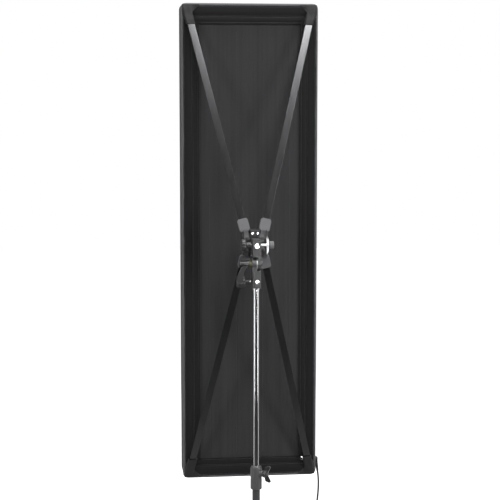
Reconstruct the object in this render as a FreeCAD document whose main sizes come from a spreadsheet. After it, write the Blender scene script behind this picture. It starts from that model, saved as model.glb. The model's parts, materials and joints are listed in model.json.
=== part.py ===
"""Strip softbox for a flexible LED mat, on an X bracket, tilt head and light stand.

Millimetres, +Z up, floor at z = 0.  The light shines along +Y and the back of the
softbox, with its X bracket, faces -Y.  Pieces are drawn about the stand's column,
then the whole is moved along Y so that the origin is the middle of the feet's box.
"""
import FreeCAD, Part
import math
import os
import re

import Sketcher

Vector = FreeCAD.Vector
X, Y, Z = Vector(1, 0, 0), Vector(0, 1, 0), Vector(0, 0, 1)

doc = FreeCAD.newDocument("StripSoftbox")
sheet = doc.addObject("Spreadsheet::Sheet", "Sizes")

# Driving dimensions, one cell each.
SIZES = {
    # softbox and its place
    "box_width": 365, "box_height": 1280, "box_depth": 85, "box_corner": 12,
    "light_height": 1450, "rear_offset": 160, "cloth": 3, "border": 48,
    "diffuser_inset": 6, "diffuser_cloth": 2, "hem_width": 14,
    # light mat
    "mat_side_gap": 32.5, "mat_end_gap": 40, "mat_cover": 1.5, "mat_board": 1.5,
    "board_edge": 2, "end_border": 55, "strip_width": 14, "strip_thick": 1.5,
    "strip_gap": 0.5,
    # arms, sleeves and corner pockets
    "arm_width": 18, "arm_thick": 2, "tip_inset_x": 18, "tip_inset_z": 22, "tip_gap": 5,
    "sleeve_width": 27, "sleeve_length": 33, "sleeve_thick": 12, "neck_width": 15,
    "neck_length": 18, "neck_thick": 10, "neck_gap": 1.8, "grip_length": 24,
    "sleeve_corner": 6, "neck_overlap": 4,
    "pocket_wide": 52, "pocket_tall": 68, "pocket_thick": 13, "pocket_gap": 0.5,
    "pocket_end": 30.6, "pocket_side": 20.8,
    # hub of the X bracket
    "pivot_out": 20, "pivot_up": 15, "hub_width": 66, "hub_tall": 74, "hub_corner": 6,
    "hub_rear": 28, "cover_thick": 6, "plate_thick": 5, "hub_cavity": 17.5,
    "rivet_radius": 4, "rivet_head": 6, "rivet_head_thick": 1.5,
    "screw_radius": 3.2, "screw_head": 2.2, "screw_out": 7, "screw_up": 28,
    "slot_play": 0.5, "spacer_play": 0.5, "spacer_inset": 4,
    # spigot through the tilt head
    "spigot_height": 1465, "spigot_radius": 8, "spigot_tail": 26, "flange_radius": 14,
    "flange_thick": 3.5, "stud_radius": 5, "nut_radius": 9, "nut_thick": 6,
    "run_fit": 0.05,
    # tilt head
    "head_width": 21, "head_depth": 44, "head_up": 16, "head_down": 29, "head_edge": 2.5,
    "tilt_drop": 48, "lug_radius": 16, "washer_thick": 2.4, "lug_gap": 0.3,
    "bolt_radius": 4, "bolt_head": 7.5, "bolt_head_thick": 5, "spacer_thick": 8,
    "spacer_radius": 9, "lever_hub": 9.5, "lever_hub_long": 24, "lever_thick": 9,
    "lever_lean": 35, "lever_edge": 2, "socket_gap": 1,
    # stand socket
    "socket_width": 22, "socket_depth": 28, "socket_tall": 46, "socket_deep": 40,
    "socket_screw_up": 17, "guard_radius": 6.5, "guard_thick": 3.5,
    # lock screws and knobs
    "lock_radius": 3, "lock_gap": 0.3, "knob_radius": 15.5, "knob_thick": 13,
    "knob_boss": 8, "knob_boss_thick": 12, "socket_knob_thick": 22, "lobe_radius": 6,
    "knob_edge": 2, "knob_end_edge": 3, "knob_stand": 4, "socket_knob_stand": 6,
    "wing_span": 50, "wing_thick": 3, "wing_out": 17, "wing_deep": 5, "wing_flat": 11,
    "screw_in_cap": 7, "cap_gap": 0.1, "cap_radius": 10, "cap_thick": 13,
    # column
    "ring_height": 1350, "ring_thick": 4, "ring_radius": 9, "pin_tall": 38,
    "plug_deep": 20, "groove_deep": 1.5, "groove_tall": 10,
    "top_tube": 7, "top_wall": 1, "top_inside": 200, "pin_edge": 1.5,
    "mid_step": 3, "mid_wall": 1.2, "mid_inside": 220,
    "base_step": 2.5, "base_wall": 1.2, "base_bottom": 34,
    "guide_tall": 20, "guide_gap": 0.05,
    "top_collar_height": 884, "base_collar_height": 612, "collar_tall": 61,
    "collar_lip": 36, "collar_wall": 5, "collar_edge": 1.5, "collar_top_edge": 2,
    "collar_boss": 8, "collar_boss_out": 5, "boss_root": 2.5,
    "collar_turn": -32, "base_turn": -20,
    "collar_screw": 14, "wing_hub": 10, "wing_hub_thick": 12, "collar_wing_thick": 5,
    "end_cap_tall": 8, "end_cap_wall": 2,
    # legs
    "leg_length": 560, "leg_angle": 58, "leg_wide": 16, "leg_thick": 14, "leg_wall": 1.6,
    "leg_pivot_out": 36, "leg_pin": 3, "leg_top": 9, "lug_plate": 3.5, "lug_play": 0.3,
    "pin_head": 2.5, "pin_head_thick": 2, "casting_wall": 7, "casting_tall": 44,
    "ear_tall": 18, "ear_out": 6, "slider_out": 7, "foot_radius": 11, "foot_wall": 2.2,
    "foot_tall": 34, "foot_flat": 2, "brace_length": 120, "brace_wide": 8, "brace_thick": 9,
    "brace_pin": 2.5, "slider_wall": 5, "slider_tall": 36,
    # power cord
    "cord_radius": 2.5, "gland_wide": 9, "gland_deep": 14, "gland_tall": 16,
    "gland_in": 25, "gland_up": 28, "plug_radius": 5.5, "plug_long": 34,
}

# Names for places that follow from the sizes above.
DERIVED = {
    "box_bottom": "light_height - box_height / 2",
    "box_front": "rear_offset + box_depth",
    "inside_y": "rear_offset + cloth",
    "mat_width": "box_width - 2 * mat_side_gap",
    "mat_height": "box_height - 2 * mat_end_gap",
    "mid_tube": "top_tube + mid_step",
    "base_tube": "mid_tube + base_step",
    "strip_y": "inside_y + strip_thick",
    "cover_y": "strip_y + mat_cover",
    "window_wide": "box_width - 2 * border",
    "window_tall": "box_height - 2 * end_border",
    "tip_out": "box_width / 2 - tip_inset_x",
    "tip_up": "box_height / 2 - tip_inset_z",
    "neck_y": "hub_rear + cover_thick + neck_thick / 2 + neck_gap",
    "plate_y": "hub_rear + cover_thick + hub_cavity",
    "hub_front": "plate_y + plate_thick",
    "tilt_height": "spigot_height - tilt_drop",
    "socket_top": "tilt_height - lug_radius - socket_gap",
    "socket_bottom": "socket_top - socket_tall",
    "socket_screw": "socket_bottom + socket_screw_up",
    "lug_right": "washer_thick + lug_gap",
    "spacer_x": "-(socket_width / 2 + lug_gap)",
    "lever_x": "spacer_x - spacer_thick",
    "spigot_bore": "spigot_radius + run_fit",
    "lock_bore": "lock_radius + run_fit",
    "ring_top": "ring_height + ring_thick",
    "top_tube_low": "top_collar_height - top_inside",
    "mid_tube_top": "top_collar_height - collar_lip",
    "mid_tube_low": "base_collar_height - mid_inside",
    "base_tube_top": "base_collar_height - collar_lip",
    "leg_pivot": "leg_length * cos(leg_angle * 1deg) + foot_radius - foot_flat",
    "slider_pivot": "leg_pivot - 2 * brace_length * cos(leg_angle * 1deg)",
    "gland_z": "box_bottom + gland_up",
    "gland_y": "rear_offset + gland_in",
    "column_y": "-(leg_pivot_out + leg_length * sin(leg_angle * 1deg)) / 4",
}

for row, (alias, value) in enumerate(SIZES.items(), 1):
    sheet.set("A%d" % row, alias)
    sheet.set("B%d" % row, str(value))
    sheet.setAlias("B%d" % row, alias)
doc.recompute()

WORD = re.compile(r"\b[a-z][a-z_0-9]*\b")
subparts = []


def bound(text):
    """An expression on the sheet, from value names."""
    def swap(match):
        name = match.group()
        if name in SIZES:
            return "Sizes." + name
        if name in DERIVED:
            return "(" + bound(DERIVED[name]) + ")"
        return name
    return WORD.sub(swap, str(text))


def number(text):
    """The present value of such an expression, in millimetres or degrees."""
    value = sheet.evalExpression(bound(text))
    return float(getattr(value, "Value", value))


def point(x, y, z):
    return Vector(number(x), number(y), number(z))


def bind(thing, **properties):
    for name, text in properties.items():
        thing.setExpression(name.replace("__", "."), bound(text))


def move(thing, at, turn=None):
    """Put a thing at a bound position, turned by a fixed rotation."""
    if turn:
        thing.Placement.Rotation = turn
    for letter, text in zip("xyz", at):
        thing.setExpression("Placement.Base." + letter, bound(text))
    return thing


def keep(thing, label):
    """Count a finished object as a sub-part under its label."""
    thing.Label = label
    subparts.append(thing)
    return thing


def block(name, size, low, turn=None):
    """A box from its lowest corner."""
    thing = doc.addObject("Part::Box", name)
    bind(thing, Length=size[0], Width=size[1], Height=size[2])
    return move(thing, low, turn)


def rod(name, radius, length, start, axis=Z):
    """A round bar from its starting point along an axis."""
    thing = doc.addObject("Part::Cylinder", name)
    bind(thing, Radius=radius, Height=length)
    return move(thing, start, FreeCAD.Rotation(Z, axis))


def cut(name, base, tool):
    thing = doc.addObject("Part::Cut", name)
    thing.Base, thing.Tool = base, tool
    return thing


def join(name, pieces):
    thing = doc.addObject("Part::MultiFuse", name)
    thing.Shapes = pieces
    thing.Refine = True
    return thing


def group(name, pieces):
    """Separate solids that share one sub-part."""
    thing = doc.addObject("Part::Compound", name)
    thing.Links = pieces
    return thing


def tube(name, outer, inner, length, start, axis=Z):
    shell = rod(name + "_outside", outer, length, start, axis)
    return cut(name, shell, rod(name + "_bore", inner, length, start, axis))


def body(label):
    return keep(doc.addObject("PartDesign::Body", label), label)


def sketch(owner, role, offset="0"):
    """A sketch on one of the body's own planes, moved along the plane's normal."""
    plane = next(item for item in owner.Origin.OriginFeatures if item.Role == role)
    thing = owner.newObject("Sketcher::SketchObject", owner.Name + "_sketch")
    thing.AttachmentSupport = [(plane, "")]
    thing.MapMode = "FlatFace"
    thing.setExpression("AttachmentOffset.Base.z", bound(offset))
    return thing


def fix(thing, kind, places, text):
    index = thing.addConstraint(Sketcher.Constraint(kind, *places, number(text)))
    thing.setExpression("Constraints[%d]" % index, bound(text))


def outline(thing, points):
    """A closed outline of straight edges, with every corner bound to the sheet."""
    first, count = thing.GeometryCount, len(points)
    spots = [point(x, y, "0") for x, y in points]
    for i in range(count):
        thing.addGeometry(Part.LineSegment(spots[i], spots[(i + 1) % count]), False)
    for i in range(count):
        following = first + (i + 1) % count
        thing.addConstraint(Sketcher.Constraint("Coincident", first + i, 2, following, 1))
    for i, (x, y) in enumerate(points):
        fix(thing, "DistanceX", (first + i, 1), x)
        fix(thing, "DistanceY", (first + i, 1), y)


def rectangle(thing, width, height, x="0", y="0"):
    left, right = "%s - (%s) / 2" % (x, width), "%s + (%s) / 2" % (x, width)
    low, high = "%s - (%s) / 2" % (y, height), "%s + (%s) / 2" % (y, height)
    outline(thing, [(left, low), (right, low), (right, high), (left, high)])


def circle(thing, radius, x="0", y="0"):
    index = thing.addGeometry(Part.Circle(point(x, y, "0"), Z, number(radius)), False)
    fix(thing, "Radius", (index,), radius)
    fix(thing, "DistanceX", (index, 3), x)
    fix(thing, "DistanceY", (index, 3), y)


def pad(owner, role, low, high, draw):
    """Add what the outline sweeps between two heights along the plane's world axis."""
    backwards = role == "XZ_Plane"
    flat = sketch(owner, role, "-(%s)" % high if backwards else low)
    draw(flat)
    thing = owner.newObject("PartDesign::Pad", owner.Name + "_pad")
    thing.Profile = flat
    bind(thing, Length="(%s) - (%s)" % (high, low))
    doc.recompute()
    return thing


def pocket(owner, role, low, high, draw):
    """Take away what the outline sweeps between two heights."""
    before = owner.Shape.Volume
    backwards = role == "XZ_Plane"
    flat = sketch(owner, role, "-(%s)" % low if backwards else high)
    draw(flat)
    thing = owner.newObject("PartDesign::Pocket", owner.Name + "_pocket")
    thing.Profile = flat
    bind(thing, Length="(%s) - (%s)" % (high, low))
    doc.recompute()
    if owner.Shape.Volume >= before:
        raise ValueError("a pocket of %s cuts nothing" % owner.Label)
    return thing


def revolve(owner, points):
    """Turn an outline of (radius, height) points about the Z axis."""
    flat = sketch(owner, "XZ_Plane")
    outline(flat, points)
    thing = owner.newObject("PartDesign::Revolution", owner.Name + "_turned")
    thing.Profile = flat
    thing.ReferenceAxis = (flat, ["V_Axis"])
    thing.Angle = 360
    doc.recompute()
    return thing


def repeat(owner, feature, count):
    """Repeat a feature evenly about the body's Z axis."""
    axis = next(item for item in owner.Origin.OriginFeatures if item.Role == "Z_Axis")
    thing = owner.newObject("PartDesign::PolarPattern", owner.Name + "_pattern")
    thing.Originals = [feature]
    thing.Axis = (axis, [""])
    thing.Angle = 360
    thing.Occurrences = count
    owner.Tip = thing
    doc.recompute()
    return thing


def soften(owner, feature, radius, wanted):
    """Round the edges that the test picks."""
    doc.recompute()
    edges = feature.Shape.Edges
    names = ["Edge%d" % (i + 1) for i, edge in enumerate(edges) if wanted(edge)]
    thing = owner.newObject("PartDesign::Fillet", owner.Name + "_rounding")
    thing.Base = (feature, names)
    bind(thing, Radius=radius)
    owner.Tip = thing
    doc.recompute()
    return thing


def along(axis):
    """A test for straight edges that run along an axis."""
    def test(edge):
        if not isinstance(edge.Curve, Part.Line):
            return False
        return abs(edge.Curve.Direction.dot(axis)) > 0.999
    return test


# ---------------------------------------------------------------- softbox and mat
def softbox_shell():
    """Side walls and rear border in one cloth tub, open at the front."""
    shell = body("softbox_shell")
    middle = "light_height"
    solid = pad(shell, "XZ_Plane", "rear_offset", "box_front",
                lambda s: rectangle(s, "box_width", "box_height", "0", middle))
    soften(shell, solid, "box_corner", along(Y))
    pocket(shell, "XZ_Plane", "inside_y", "box_front",
           lambda s: rectangle(s, "box_width - 2 * cloth", "box_height - 2 * cloth",
                               "0", middle))
    pocket(shell, "XZ_Plane", "rear_offset", "inside_y",
           lambda s: rectangle(s, "window_wide", "window_tall", "0", middle))


def sheet_panel(label, width, height, low, high):
    """A flat panel across the softbox, centred on the light."""
    panel = body(label)
    pad(panel, "XZ_Plane", low, high,
        lambda s: rectangle(s, width, height, "0", "light_height"))
    return panel


def diffuser():
    """The white front cloth and the black hem that holds it inside the walls."""
    front = "box_front - diffuser_inset"
    back = front + " - diffuser_cloth"
    inner_wide = "box_width - 2 * cloth"
    inner_tall = "box_height - 2 * cloth"
    sheet_panel("front_diffuser", inner_wide, inner_tall, back, front)
    hem = sheet_panel("diffuser_hem", inner_wide, inner_tall, front,
                      front + " + diffuser_cloth")
    pocket(hem, "XZ_Plane", front, front + " + diffuser_cloth",
           lambda s: rectangle(s, inner_wide + " - 2 * hem_width",
                               inner_tall + " - 2 * hem_width", "0", "light_height"))


def mat():
    """The LED mat on the inside of the rear border, held by hook-and-loop strips."""
    sheet_panel("mat_rear_cover", "mat_width", "mat_height", "strip_y", "cover_y")
    sheet_panel("led_board", "mat_width - 2 * board_edge", "mat_height - 2 * board_edge", "cover_y",
                "cover_y + mat_board")
    side = "window_wide / 2 + strip_gap"
    end = "window_tall / 2 + strip_gap"
    strips = []
    for sign, name in ((-1, "left"), (1, "right")):
        low = "%s" % side if sign > 0 else "-(%s) - strip_width" % side
        strips.append(block("strip_" + name, ("strip_width", "strip_thick", "window_tall"),
                            (low, "inside_y", "light_height - window_tall / 2")))
    for sign, name in ((-1, "bottom"), (1, "top")):
        low = end if sign > 0 else "-(%s) - strip_width" % end
        strips.append(block("strip_" + name, ("window_wide", "strip_thick", "strip_width"),
                            ("-window_wide / 2", "inside_y", "light_height + " + low)))
    keep(group("strips", strips), "hook_and_loop_strips")


# ---------------------------------------------------------------- X bracket
def arm_frame(side, level):
    """Where an arm starts, its direction and its flat side, from its pivot to its tip."""
    pivot = point("%d * pivot_out" % side, "neck_y",
                  "spigot_height + %d * pivot_up" % level)
    tip = point("%d * tip_out" % side, "rear_offset - tip_gap",
                "light_height + %d * tip_up" % level)
    run = tip - pivot
    across = run.cross(Y).normalize()
    turn = FreeCAD.Rotation(across, Vector(), run, "ZXY")
    return FreeCAD.Placement(pivot, turn), run.Length


def shaped(label, shape, placement):
    """A sub-part whose shape is worked out here from the sheet's values."""
    thing = keep(doc.addObject("Part::Feature", label), label)
    thing.Shape = shape
    thing.Placement = placement
    return thing


def placed(shape, placement):
    """The same shape at another place, with its faces kept as they are."""
    copy = shape.copy()
    copy.Placement = placement.multiply(copy.Placement)
    return copy


def bar(width, thick, low, high):
    """A bar along Z, centred on it."""
    return Part.makeBox(width, thick, high - low, Vector(-width / 2, -thick / 2, low))


def arm(side, level, place):
    """A spring-steel strip from its sleeve to a corner pocket."""
    frame, length = arm_frame(side, level)
    start = number("neck_length + sleeve_length - grip_length")
    width = number("arm_width")
    strip = bar(width, number("arm_thick"), start, length)
    corners = [edge for edge in strip.Edges
               if abs(edge.tangentAt(0).y) > 0.9 and edge.CenterOfMass.z > length - 1]
    shaped("arm_" + place, strip.makeFillet(width * 0.3, corners), frame)


def sleeve(side, level, place):
    """The moulded sleeve that grips a strip, with the neck that pivots in the hub."""
    frame, length = arm_frame(side, level)
    neck = number("neck_length")
    wide, thick = number("neck_width"), number("neck_thick")
    long = number("sleeve_length")
    block_shape = bar(number("sleeve_width"), number("sleeve_thick"), neck, neck + long)
    edges = [edge for edge in block_shape.Edges if abs(edge.tangentAt(0).y) > 0.9]
    block_shape = block_shape.makeFillet(number("sleeve_corner"), edges)
    stem = bar(wide, thick, 0, neck + number("neck_overlap"))
    eye = Part.makeCylinder(wide / 2, thick, Vector(0, -thick / 2, 0), Y)
    solid = block_shape.fuse([stem, eye]).removeSplitter()
    grip = bar(number("arm_width"), number("arm_thick"),
               number("neck_length + sleeve_length - grip_length"), neck + long + 1)
    rivet = rivet_rod(side, level, number("rivet_radius"))
    rivet = placed(rivet, frame.inverse())
    shaped("sleeve_" + place, solid.cut([grip, rivet]), frame)


def rivet_rod(side, level, radius):
    """The hole through the hub for an arm's rivet, in world coordinates."""
    start = point("%d * pivot_out" % side, "hub_rear", "spigot_height + %d * pivot_up" % level)
    return Part.makeCylinder(radius, number("hub_front - hub_rear"), start, Y)


def corner_pocket(side, level, place):
    """A triangular cloth gusset on the rear border, open for the arm's tip."""
    frame, length = arm_frame(side, level)
    inset = number("cloth")
    corner = point("%d * box_width / 2" % side, "rear_offset",
                   "light_height + %d * box_height / 2" % level)
    corner = corner - Vector(side * inset, 0, level * inset)
    wide, tall = number("pocket_wide"), number("pocket_tall")
    deep = number("pocket_thick")
    flat = [corner, corner - Vector(side * wide, 0, 0),
            corner - Vector(side * wide, 0, level * number("pocket_end")),
            corner - Vector(side * number("pocket_side"), 0, level * tall),
            corner - Vector(0, 0, level * tall)]
    face = Part.Face(Part.makePolygon(flat + flat[:1]))
    solid = face.extrude(Vector(0, -deep, 0))
    gap = number("pocket_gap")
    slot = bar(number("arm_width") + 2 * gap, number("arm_thick") + 2 * gap, 0, length + gap)
    shaped("pocket_" + place, solid.cut(placed(slot, frame)), FreeCAD.Placement())


def hub():
    """Cover and plate that hold the four pivots, with rivets and screws."""
    middle = "spigot_height"

    def base(name, low, high):
        piece = body(name)
        slab = pad(piece, "XZ_Plane", low, high,
                   lambda s: rectangle(s, "hub_width", "hub_tall", "0", middle))
        soften(piece, slab, "hub_corner", along(Y))
        return piece

    cover = base("hub_cover", "hub_rear", "hub_rear + cover_thick")
    for side in (-1, 1):
        for level in (-1, 1):
            centre = "%s + %d * (pivot_up + hub_tall / 2 + 2) / 2" % (middle, level)
            pocket(cover, "XZ_Plane", "hub_rear", "hub_rear + cover_thick",
                   lambda s: rectangle(s, "neck_width + 2 * slot_play",
                                       "hub_tall / 2 - pivot_up + 2",
                                       "%d * pivot_out" % side, centre))
    plate = base("hub_plate", "plate_y", "hub_front")

    def pivots(s):
        for side in (-1, 1):
            for level in (-1, 1):
                circle(s, "rivet_radius", "%d * pivot_out" % side,
                       "%s + %d * pivot_up" % (middle, level))
        circle(s, "stud_radius", "0", middle)

    pocket(plate, "XZ_Plane", "plate_y", "hub_front", pivots)
    pocket(cover, "XZ_Plane", "hub_rear", "hub_rear + cover_thick", pivots)
    rivets = []
    screws = []
    for side in (-1, 1):
        for level in (-1, 1):
            x = "%d * pivot_out" % side
            z = "%s + %d * pivot_up" % (middle, level)
            shank = rod("rivet_shank", "rivet_radius", "hub_front - hub_rear",
                        (x, "hub_rear", z), Y)
            head = rod("rivet_rear", "rivet_head", "rivet_head_thick",
                       (x, "hub_rear - rivet_head_thick", z), Y)
            tail = rod("rivet_front", "rivet_head", "rivet_head_thick",
                       (x, "hub_front", z), Y)
            rivets.append(join("rivet", [shank, head, tail]))
            screws.append(rod("hub_screw", "screw_radius", "screw_head",
                              ("%d * screw_out" % side, "hub_rear - screw_head",
                               "%s + %d * screw_up" % (middle, level)), Y))
    keep(group("rivets", rivets), "hub_rivets")
    keep(group("screws", screws), "hub_screws")
    half = "(pivot_out - neck_width / 2 - spacer_play)"
    spacer = block("spacer_block", ("2 * " + half, "hub_cavity",
                                    "hub_tall - 2 * spacer_inset"),
                   ("-" + half, "hub_rear + cover_thick",
                    middle + " - hub_tall / 2 + spacer_inset"))
    hole = rod("spacer_hole", "stud_radius", "hub_cavity",
               ("0", "hub_rear + cover_thick", middle), Y)
    keep(cut("spacer", spacer, hole), "hub_spacer")


def spigot():
    """The chromed pin that the tilt head clamps, with its stud and nut."""
    pin = rod("spigot_pin", "spigot_radius", "spigot_tail + hub_rear",
              ("0", "-spigot_tail", "spigot_height"), Y)
    flange = rod("spigot_flange", "flange_radius", "flange_thick",
                 ("0", "hub_rear - flange_thick", "spigot_height"), Y)
    stud = rod("spigot_stud", "stud_radius", "hub_front + nut_thick - hub_rear",
               ("0", "hub_rear", "spigot_height"), Y)
    keep(join("spigot_solid", [pin, flange, stud]), "spigot")
    nut = doc.addObject("Part::Prism", "nut_hexagon")
    nut.Polygon = 6
    bind(nut, Circumradius="nut_radius", Height="nut_thick")
    move(nut, ("0", "hub_front", "spigot_height"), FreeCAD.Rotation(Z, Y))
    hole = rod("nut_bore", "stud_radius", "nut_thick", ("0", "hub_front", "spigot_height"), Y)
    keep(cut("nut", nut, hole), "spigot_nut")


# ---------------------------------------------------------------- tilt head
def tilt_head():
    """The upper casting: spigot clamp above, one tilt lug below on the right."""
    head = body("tilt_head")
    half = "head_width / 2"
    solid = pad(head, "XZ_Plane", "-head_depth / 2", "head_depth / 2",
                lambda s: rectangle(s, "head_width", "head_up + head_down", "0",
                                    "spigot_height + (head_up - head_down) / 2"))
    soften(head, solid, "head_edge", along(Y))
    pad(head, "YZ_Plane", "lug_right", half,
        lambda s: rectangle(s, "2 * lug_radius", "tilt_drop - head_down + 1", "0",
                            "tilt_height + (tilt_drop - head_down + 1) / 2"))
    pad(head, "YZ_Plane", "lug_right", half,
        lambda s: circle(s, "lug_radius", "0", "tilt_height"))
    pocket(head, "XZ_Plane", "-head_depth / 2", "head_depth / 2",
           lambda s: circle(s, "spigot_bore", "0", "spigot_height"))
    pocket(head, "YZ_Plane", "-" + half, half,
           lambda s: circle(s, "lock_bore", "0", "spigot_height"))
    pocket(head, "YZ_Plane", "lug_right", half,
           lambda s: circle(s, "bolt_radius + run_fit", "0", "tilt_height"))


def stand_socket():
    """The lower casting: stand socket below, one tilt lug above on the left."""
    socket = body("stand_socket")
    left = "-socket_width / 2"
    solid = pad(socket, "XY_Plane", "socket_bottom", "socket_top",
                lambda s: rectangle(s, "socket_width", "socket_depth"))
    soften(socket, solid, "head_edge", along(Z))
    pad(socket, "YZ_Plane", left, "-lug_gap",
        lambda s: rectangle(s, "socket_depth", "tilt_height - socket_top + 2", "0",
                            "(tilt_height + socket_top - 2) / 2"))
    pad(socket, "YZ_Plane", left, "-lug_gap",
        lambda s: circle(s, "lug_radius", "0", "tilt_height"))
    pocket(socket, "YZ_Plane", left, "-lug_gap",
           lambda s: circle(s, "bolt_radius", "0", "tilt_height"))
    pocket(socket, "XY_Plane", "socket_bottom", "socket_bottom + socket_deep",
           lambda s: circle(s, "spigot_bore"))
    pocket(socket, "YZ_Plane", left, "0",
           lambda s: circle(s, "lock_bore", "0", "socket_screw"))
    guard = rod("guard_screw", "guard_radius", "guard_thick",
                ("1", "-socket_depth / 2 - guard_thick", "socket_screw"), Y)
    keep(group("guard", [guard]), "socket_guard_screw")


def tilt_pivot():
    """Bolt, friction washer and spacer on the tilt axis."""
    start = "lever_x - lever_hub_long"
    bolt = rod("bolt_shank", "bolt_radius", "head_width / 2 - (%s)" % start,
               (start, "0", "tilt_height"), X)
    head = rod("bolt_head_disc", "bolt_head", "bolt_head_thick",
               ("head_width / 2 + lug_gap", "0", "tilt_height"), X)
    keep(join("bolt", [bolt, head, rod("bolt_neck", "bolt_radius", "lug_gap",
                                       ("head_width / 2", "0", "tilt_height"), X)]),
         "tilt_bolt")
    keep(tube("washer", "lug_radius", "bolt_radius", "washer_thick", ("0", "0", "tilt_height"),
              X), "tilt_washer")
    keep(tube("spacer_ring", "spacer_radius", "bolt_radius", "spacer_thick",
              ("lever_x + lug_gap", "0", "tilt_height"), X), "lever_spacer")


# The lever's outline, across from its hub's outer end and down, as three arcs in a row.
LEVER_OUTLINE = [(10, 6), (-3, 24), (-10, 52), (-1, 61), (7, 56), (11, 28), (23, 6)]


def tilt_lever():
    """The curved clamping lever on the left end of the tilt bolt, leaning to the rear."""
    lean = FreeCAD.Rotation(X, -number("lever_lean"))
    inner = number("lever_x")
    outer = inner - number("lever_hub_long")
    hub_radius = number("lever_hub")
    spots = [Vector(outer + across, 0, -down) for across, down in LEVER_OUTLINE]
    arcs = [Part.Arc(*spots[i:i + 3]).toShape() for i in (0, 2, 4)]
    wire = Part.Wire(arcs + [Part.LineSegment(spots[6], spots[0]).toShape()])
    thick = number("lever_thick")
    paddle = Part.Face(wire).extrude(Vector(0, thick, 0))
    paddle.translate(Vector(0, -thick / 2, 0))
    rims = [edge for edge in paddle.Edges if edge.CenterOfMass.z < -hub_radius
            and abs(edge.CenterOfMass.y) > thick * 0.49]
    paddle = paddle.makeFillet(number("lever_edge"), rims)
    hub_rod = Part.makeCylinder(hub_radius, inner - outer, Vector(outer, 0, 0), X)
    bore = Part.makeCylinder(number("bolt_radius + run_fit"), inner - outer + 2,
                             Vector(outer - 1, 0, 0), X)
    solid = hub_rod.fuse(paddle).cut(bore).removeSplitter()
    shaped("tilt_lever", solid, FreeCAD.Placement(point("0", "0", "tilt_height"), lean))


# ---------------------------------------------------------------- knobs and screws
def lobed_knob(label, shaft, thick, at, turn):
    """A lobed knob on its screw, modelled along Z from the screw's tip."""
    knob = body(label)
    boss = "(%s) + knob_boss_thick" % shaft
    end = boss + " + " + thick
    revolve(knob, [("0", "0"), ("lock_radius", "0"), ("lock_radius", shaft),
                   ("knob_boss", shaft), ("knob_boss", boss),
                   ("knob_radius - knob_edge", boss), ("knob_radius", boss + " + knob_edge"),
                   ("knob_radius", end + " - knob_end_edge"),
                   ("knob_radius - knob_end_edge", end), ("0", end)])
    notch = pocket(knob, "XY_Plane", boss, end + " + 1",
                   lambda s: circle(s, "lobe_radius", "knob_radius + lobe_radius * 0.55", "0"))
    repeat(knob, notch, 6)
    move(knob, at, turn)
    return knob


def wing_screw():
    """A chromed wing screw with a grey cap, on the right of the spigot clamp."""
    tip = "spigot_radius + lock_gap"
    wing_x = "head_width / 2 + wing_out"
    shank = rod("wing_shank", "lock_radius", "%s - (%s) + wing_deep + screw_in_cap" % (wing_x, tip),
                (tip, "0", "spigot_height"), X)
    half, flat_half = number("wing_span / 2"), number("wing_flat")
    start, deep, thick = number(wing_x), number("wing_deep"), number("wing_thick")
    spine = Part.Arc(Vector(start, 0, half), Vector(start - 1, 0, 0), Vector(start, 0, -half))
    shoulder, middle = deep * 0.72, (half + flat_half) * 0.5
    lower = Part.Arc(Vector(start, 0, -half), Vector(start + shoulder, 0, -middle),
                     Vector(start + deep, 0, -flat_half))
    flat = Part.LineSegment(Vector(start + deep, 0, -flat_half), Vector(start + deep, 0, flat_half))
    upper = Part.Arc(Vector(start + deep, 0, flat_half), Vector(start + shoulder, 0, middle),
                     Vector(start, 0, half))
    face = Part.Face(Part.Wire([curve.toShape() for curve in (spine, lower, flat, upper)]))
    plate = doc.addObject("Part::Feature", "wing_plate")
    plate.Shape = face.extrude(Vector(0, thick, 0))
    plate.Placement = FreeCAD.Placement(point("0", "-wing_thick / 2", "spigot_height"),
                                        FreeCAD.Rotation())
    keep(join("wing", [shank, plate]), "spigot_wing_screw")
    seat = (wing_x + " + wing_deep + cap_gap", "0", "spigot_height")
    cap = rod("cap_solid", "cap_radius", "cap_thick", seat, X)
    inside = rod("cap_hole", "lock_radius", "screw_in_cap - cap_gap", seat, X)
    keep(cut("cap", cap, inside), "wing_screw_cap")


# One wing of a collar's knob: out from the knob's inner face, and away from its middle.
WING_OUTLINE = [(3, 4), (5, 18.5), (18, 22), (21, 17.6), (13, 4)]


def collar_knob(label, start, height, turn_value):
    """A wing knob on the side of a clamp collar, turned about the column."""
    angle = math.radians(number(turn_value))
    heading = Vector(math.cos(angle), math.sin(angle), 0)
    turn = FreeCAD.Rotation(X, heading)
    reach = number(start)
    hub_radius, hub_thick = number("wing_hub"), number("wing_hub_thick")
    boss_end = reach + number("collar_screw")
    screw = Part.makeCylinder(number("lock_radius"), boss_end - reach + 1,
                              Vector(reach, 0, 0), X)
    disc = Part.makeCylinder(hub_radius, hub_thick, Vector(boss_end, 0, 0), X)
    thick = number("collar_wing_thick")
    wings = []
    for sign in (-1, 1):
        edge = [Vector(boss_end + out, 0, sign * away) for out, away in WING_OUTLINE]
        face = Part.Face(Part.makePolygon(edge + edge[:1]))
        wings.append(face.extrude(Vector(0, thick, 0)).translated(Vector(0, -thick / 2, 0)))
    solid = disc.fuse([screw] + wings).removeSplitter()
    shaped(label, solid, FreeCAD.Placement(point("0", "0", height), turn))


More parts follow.
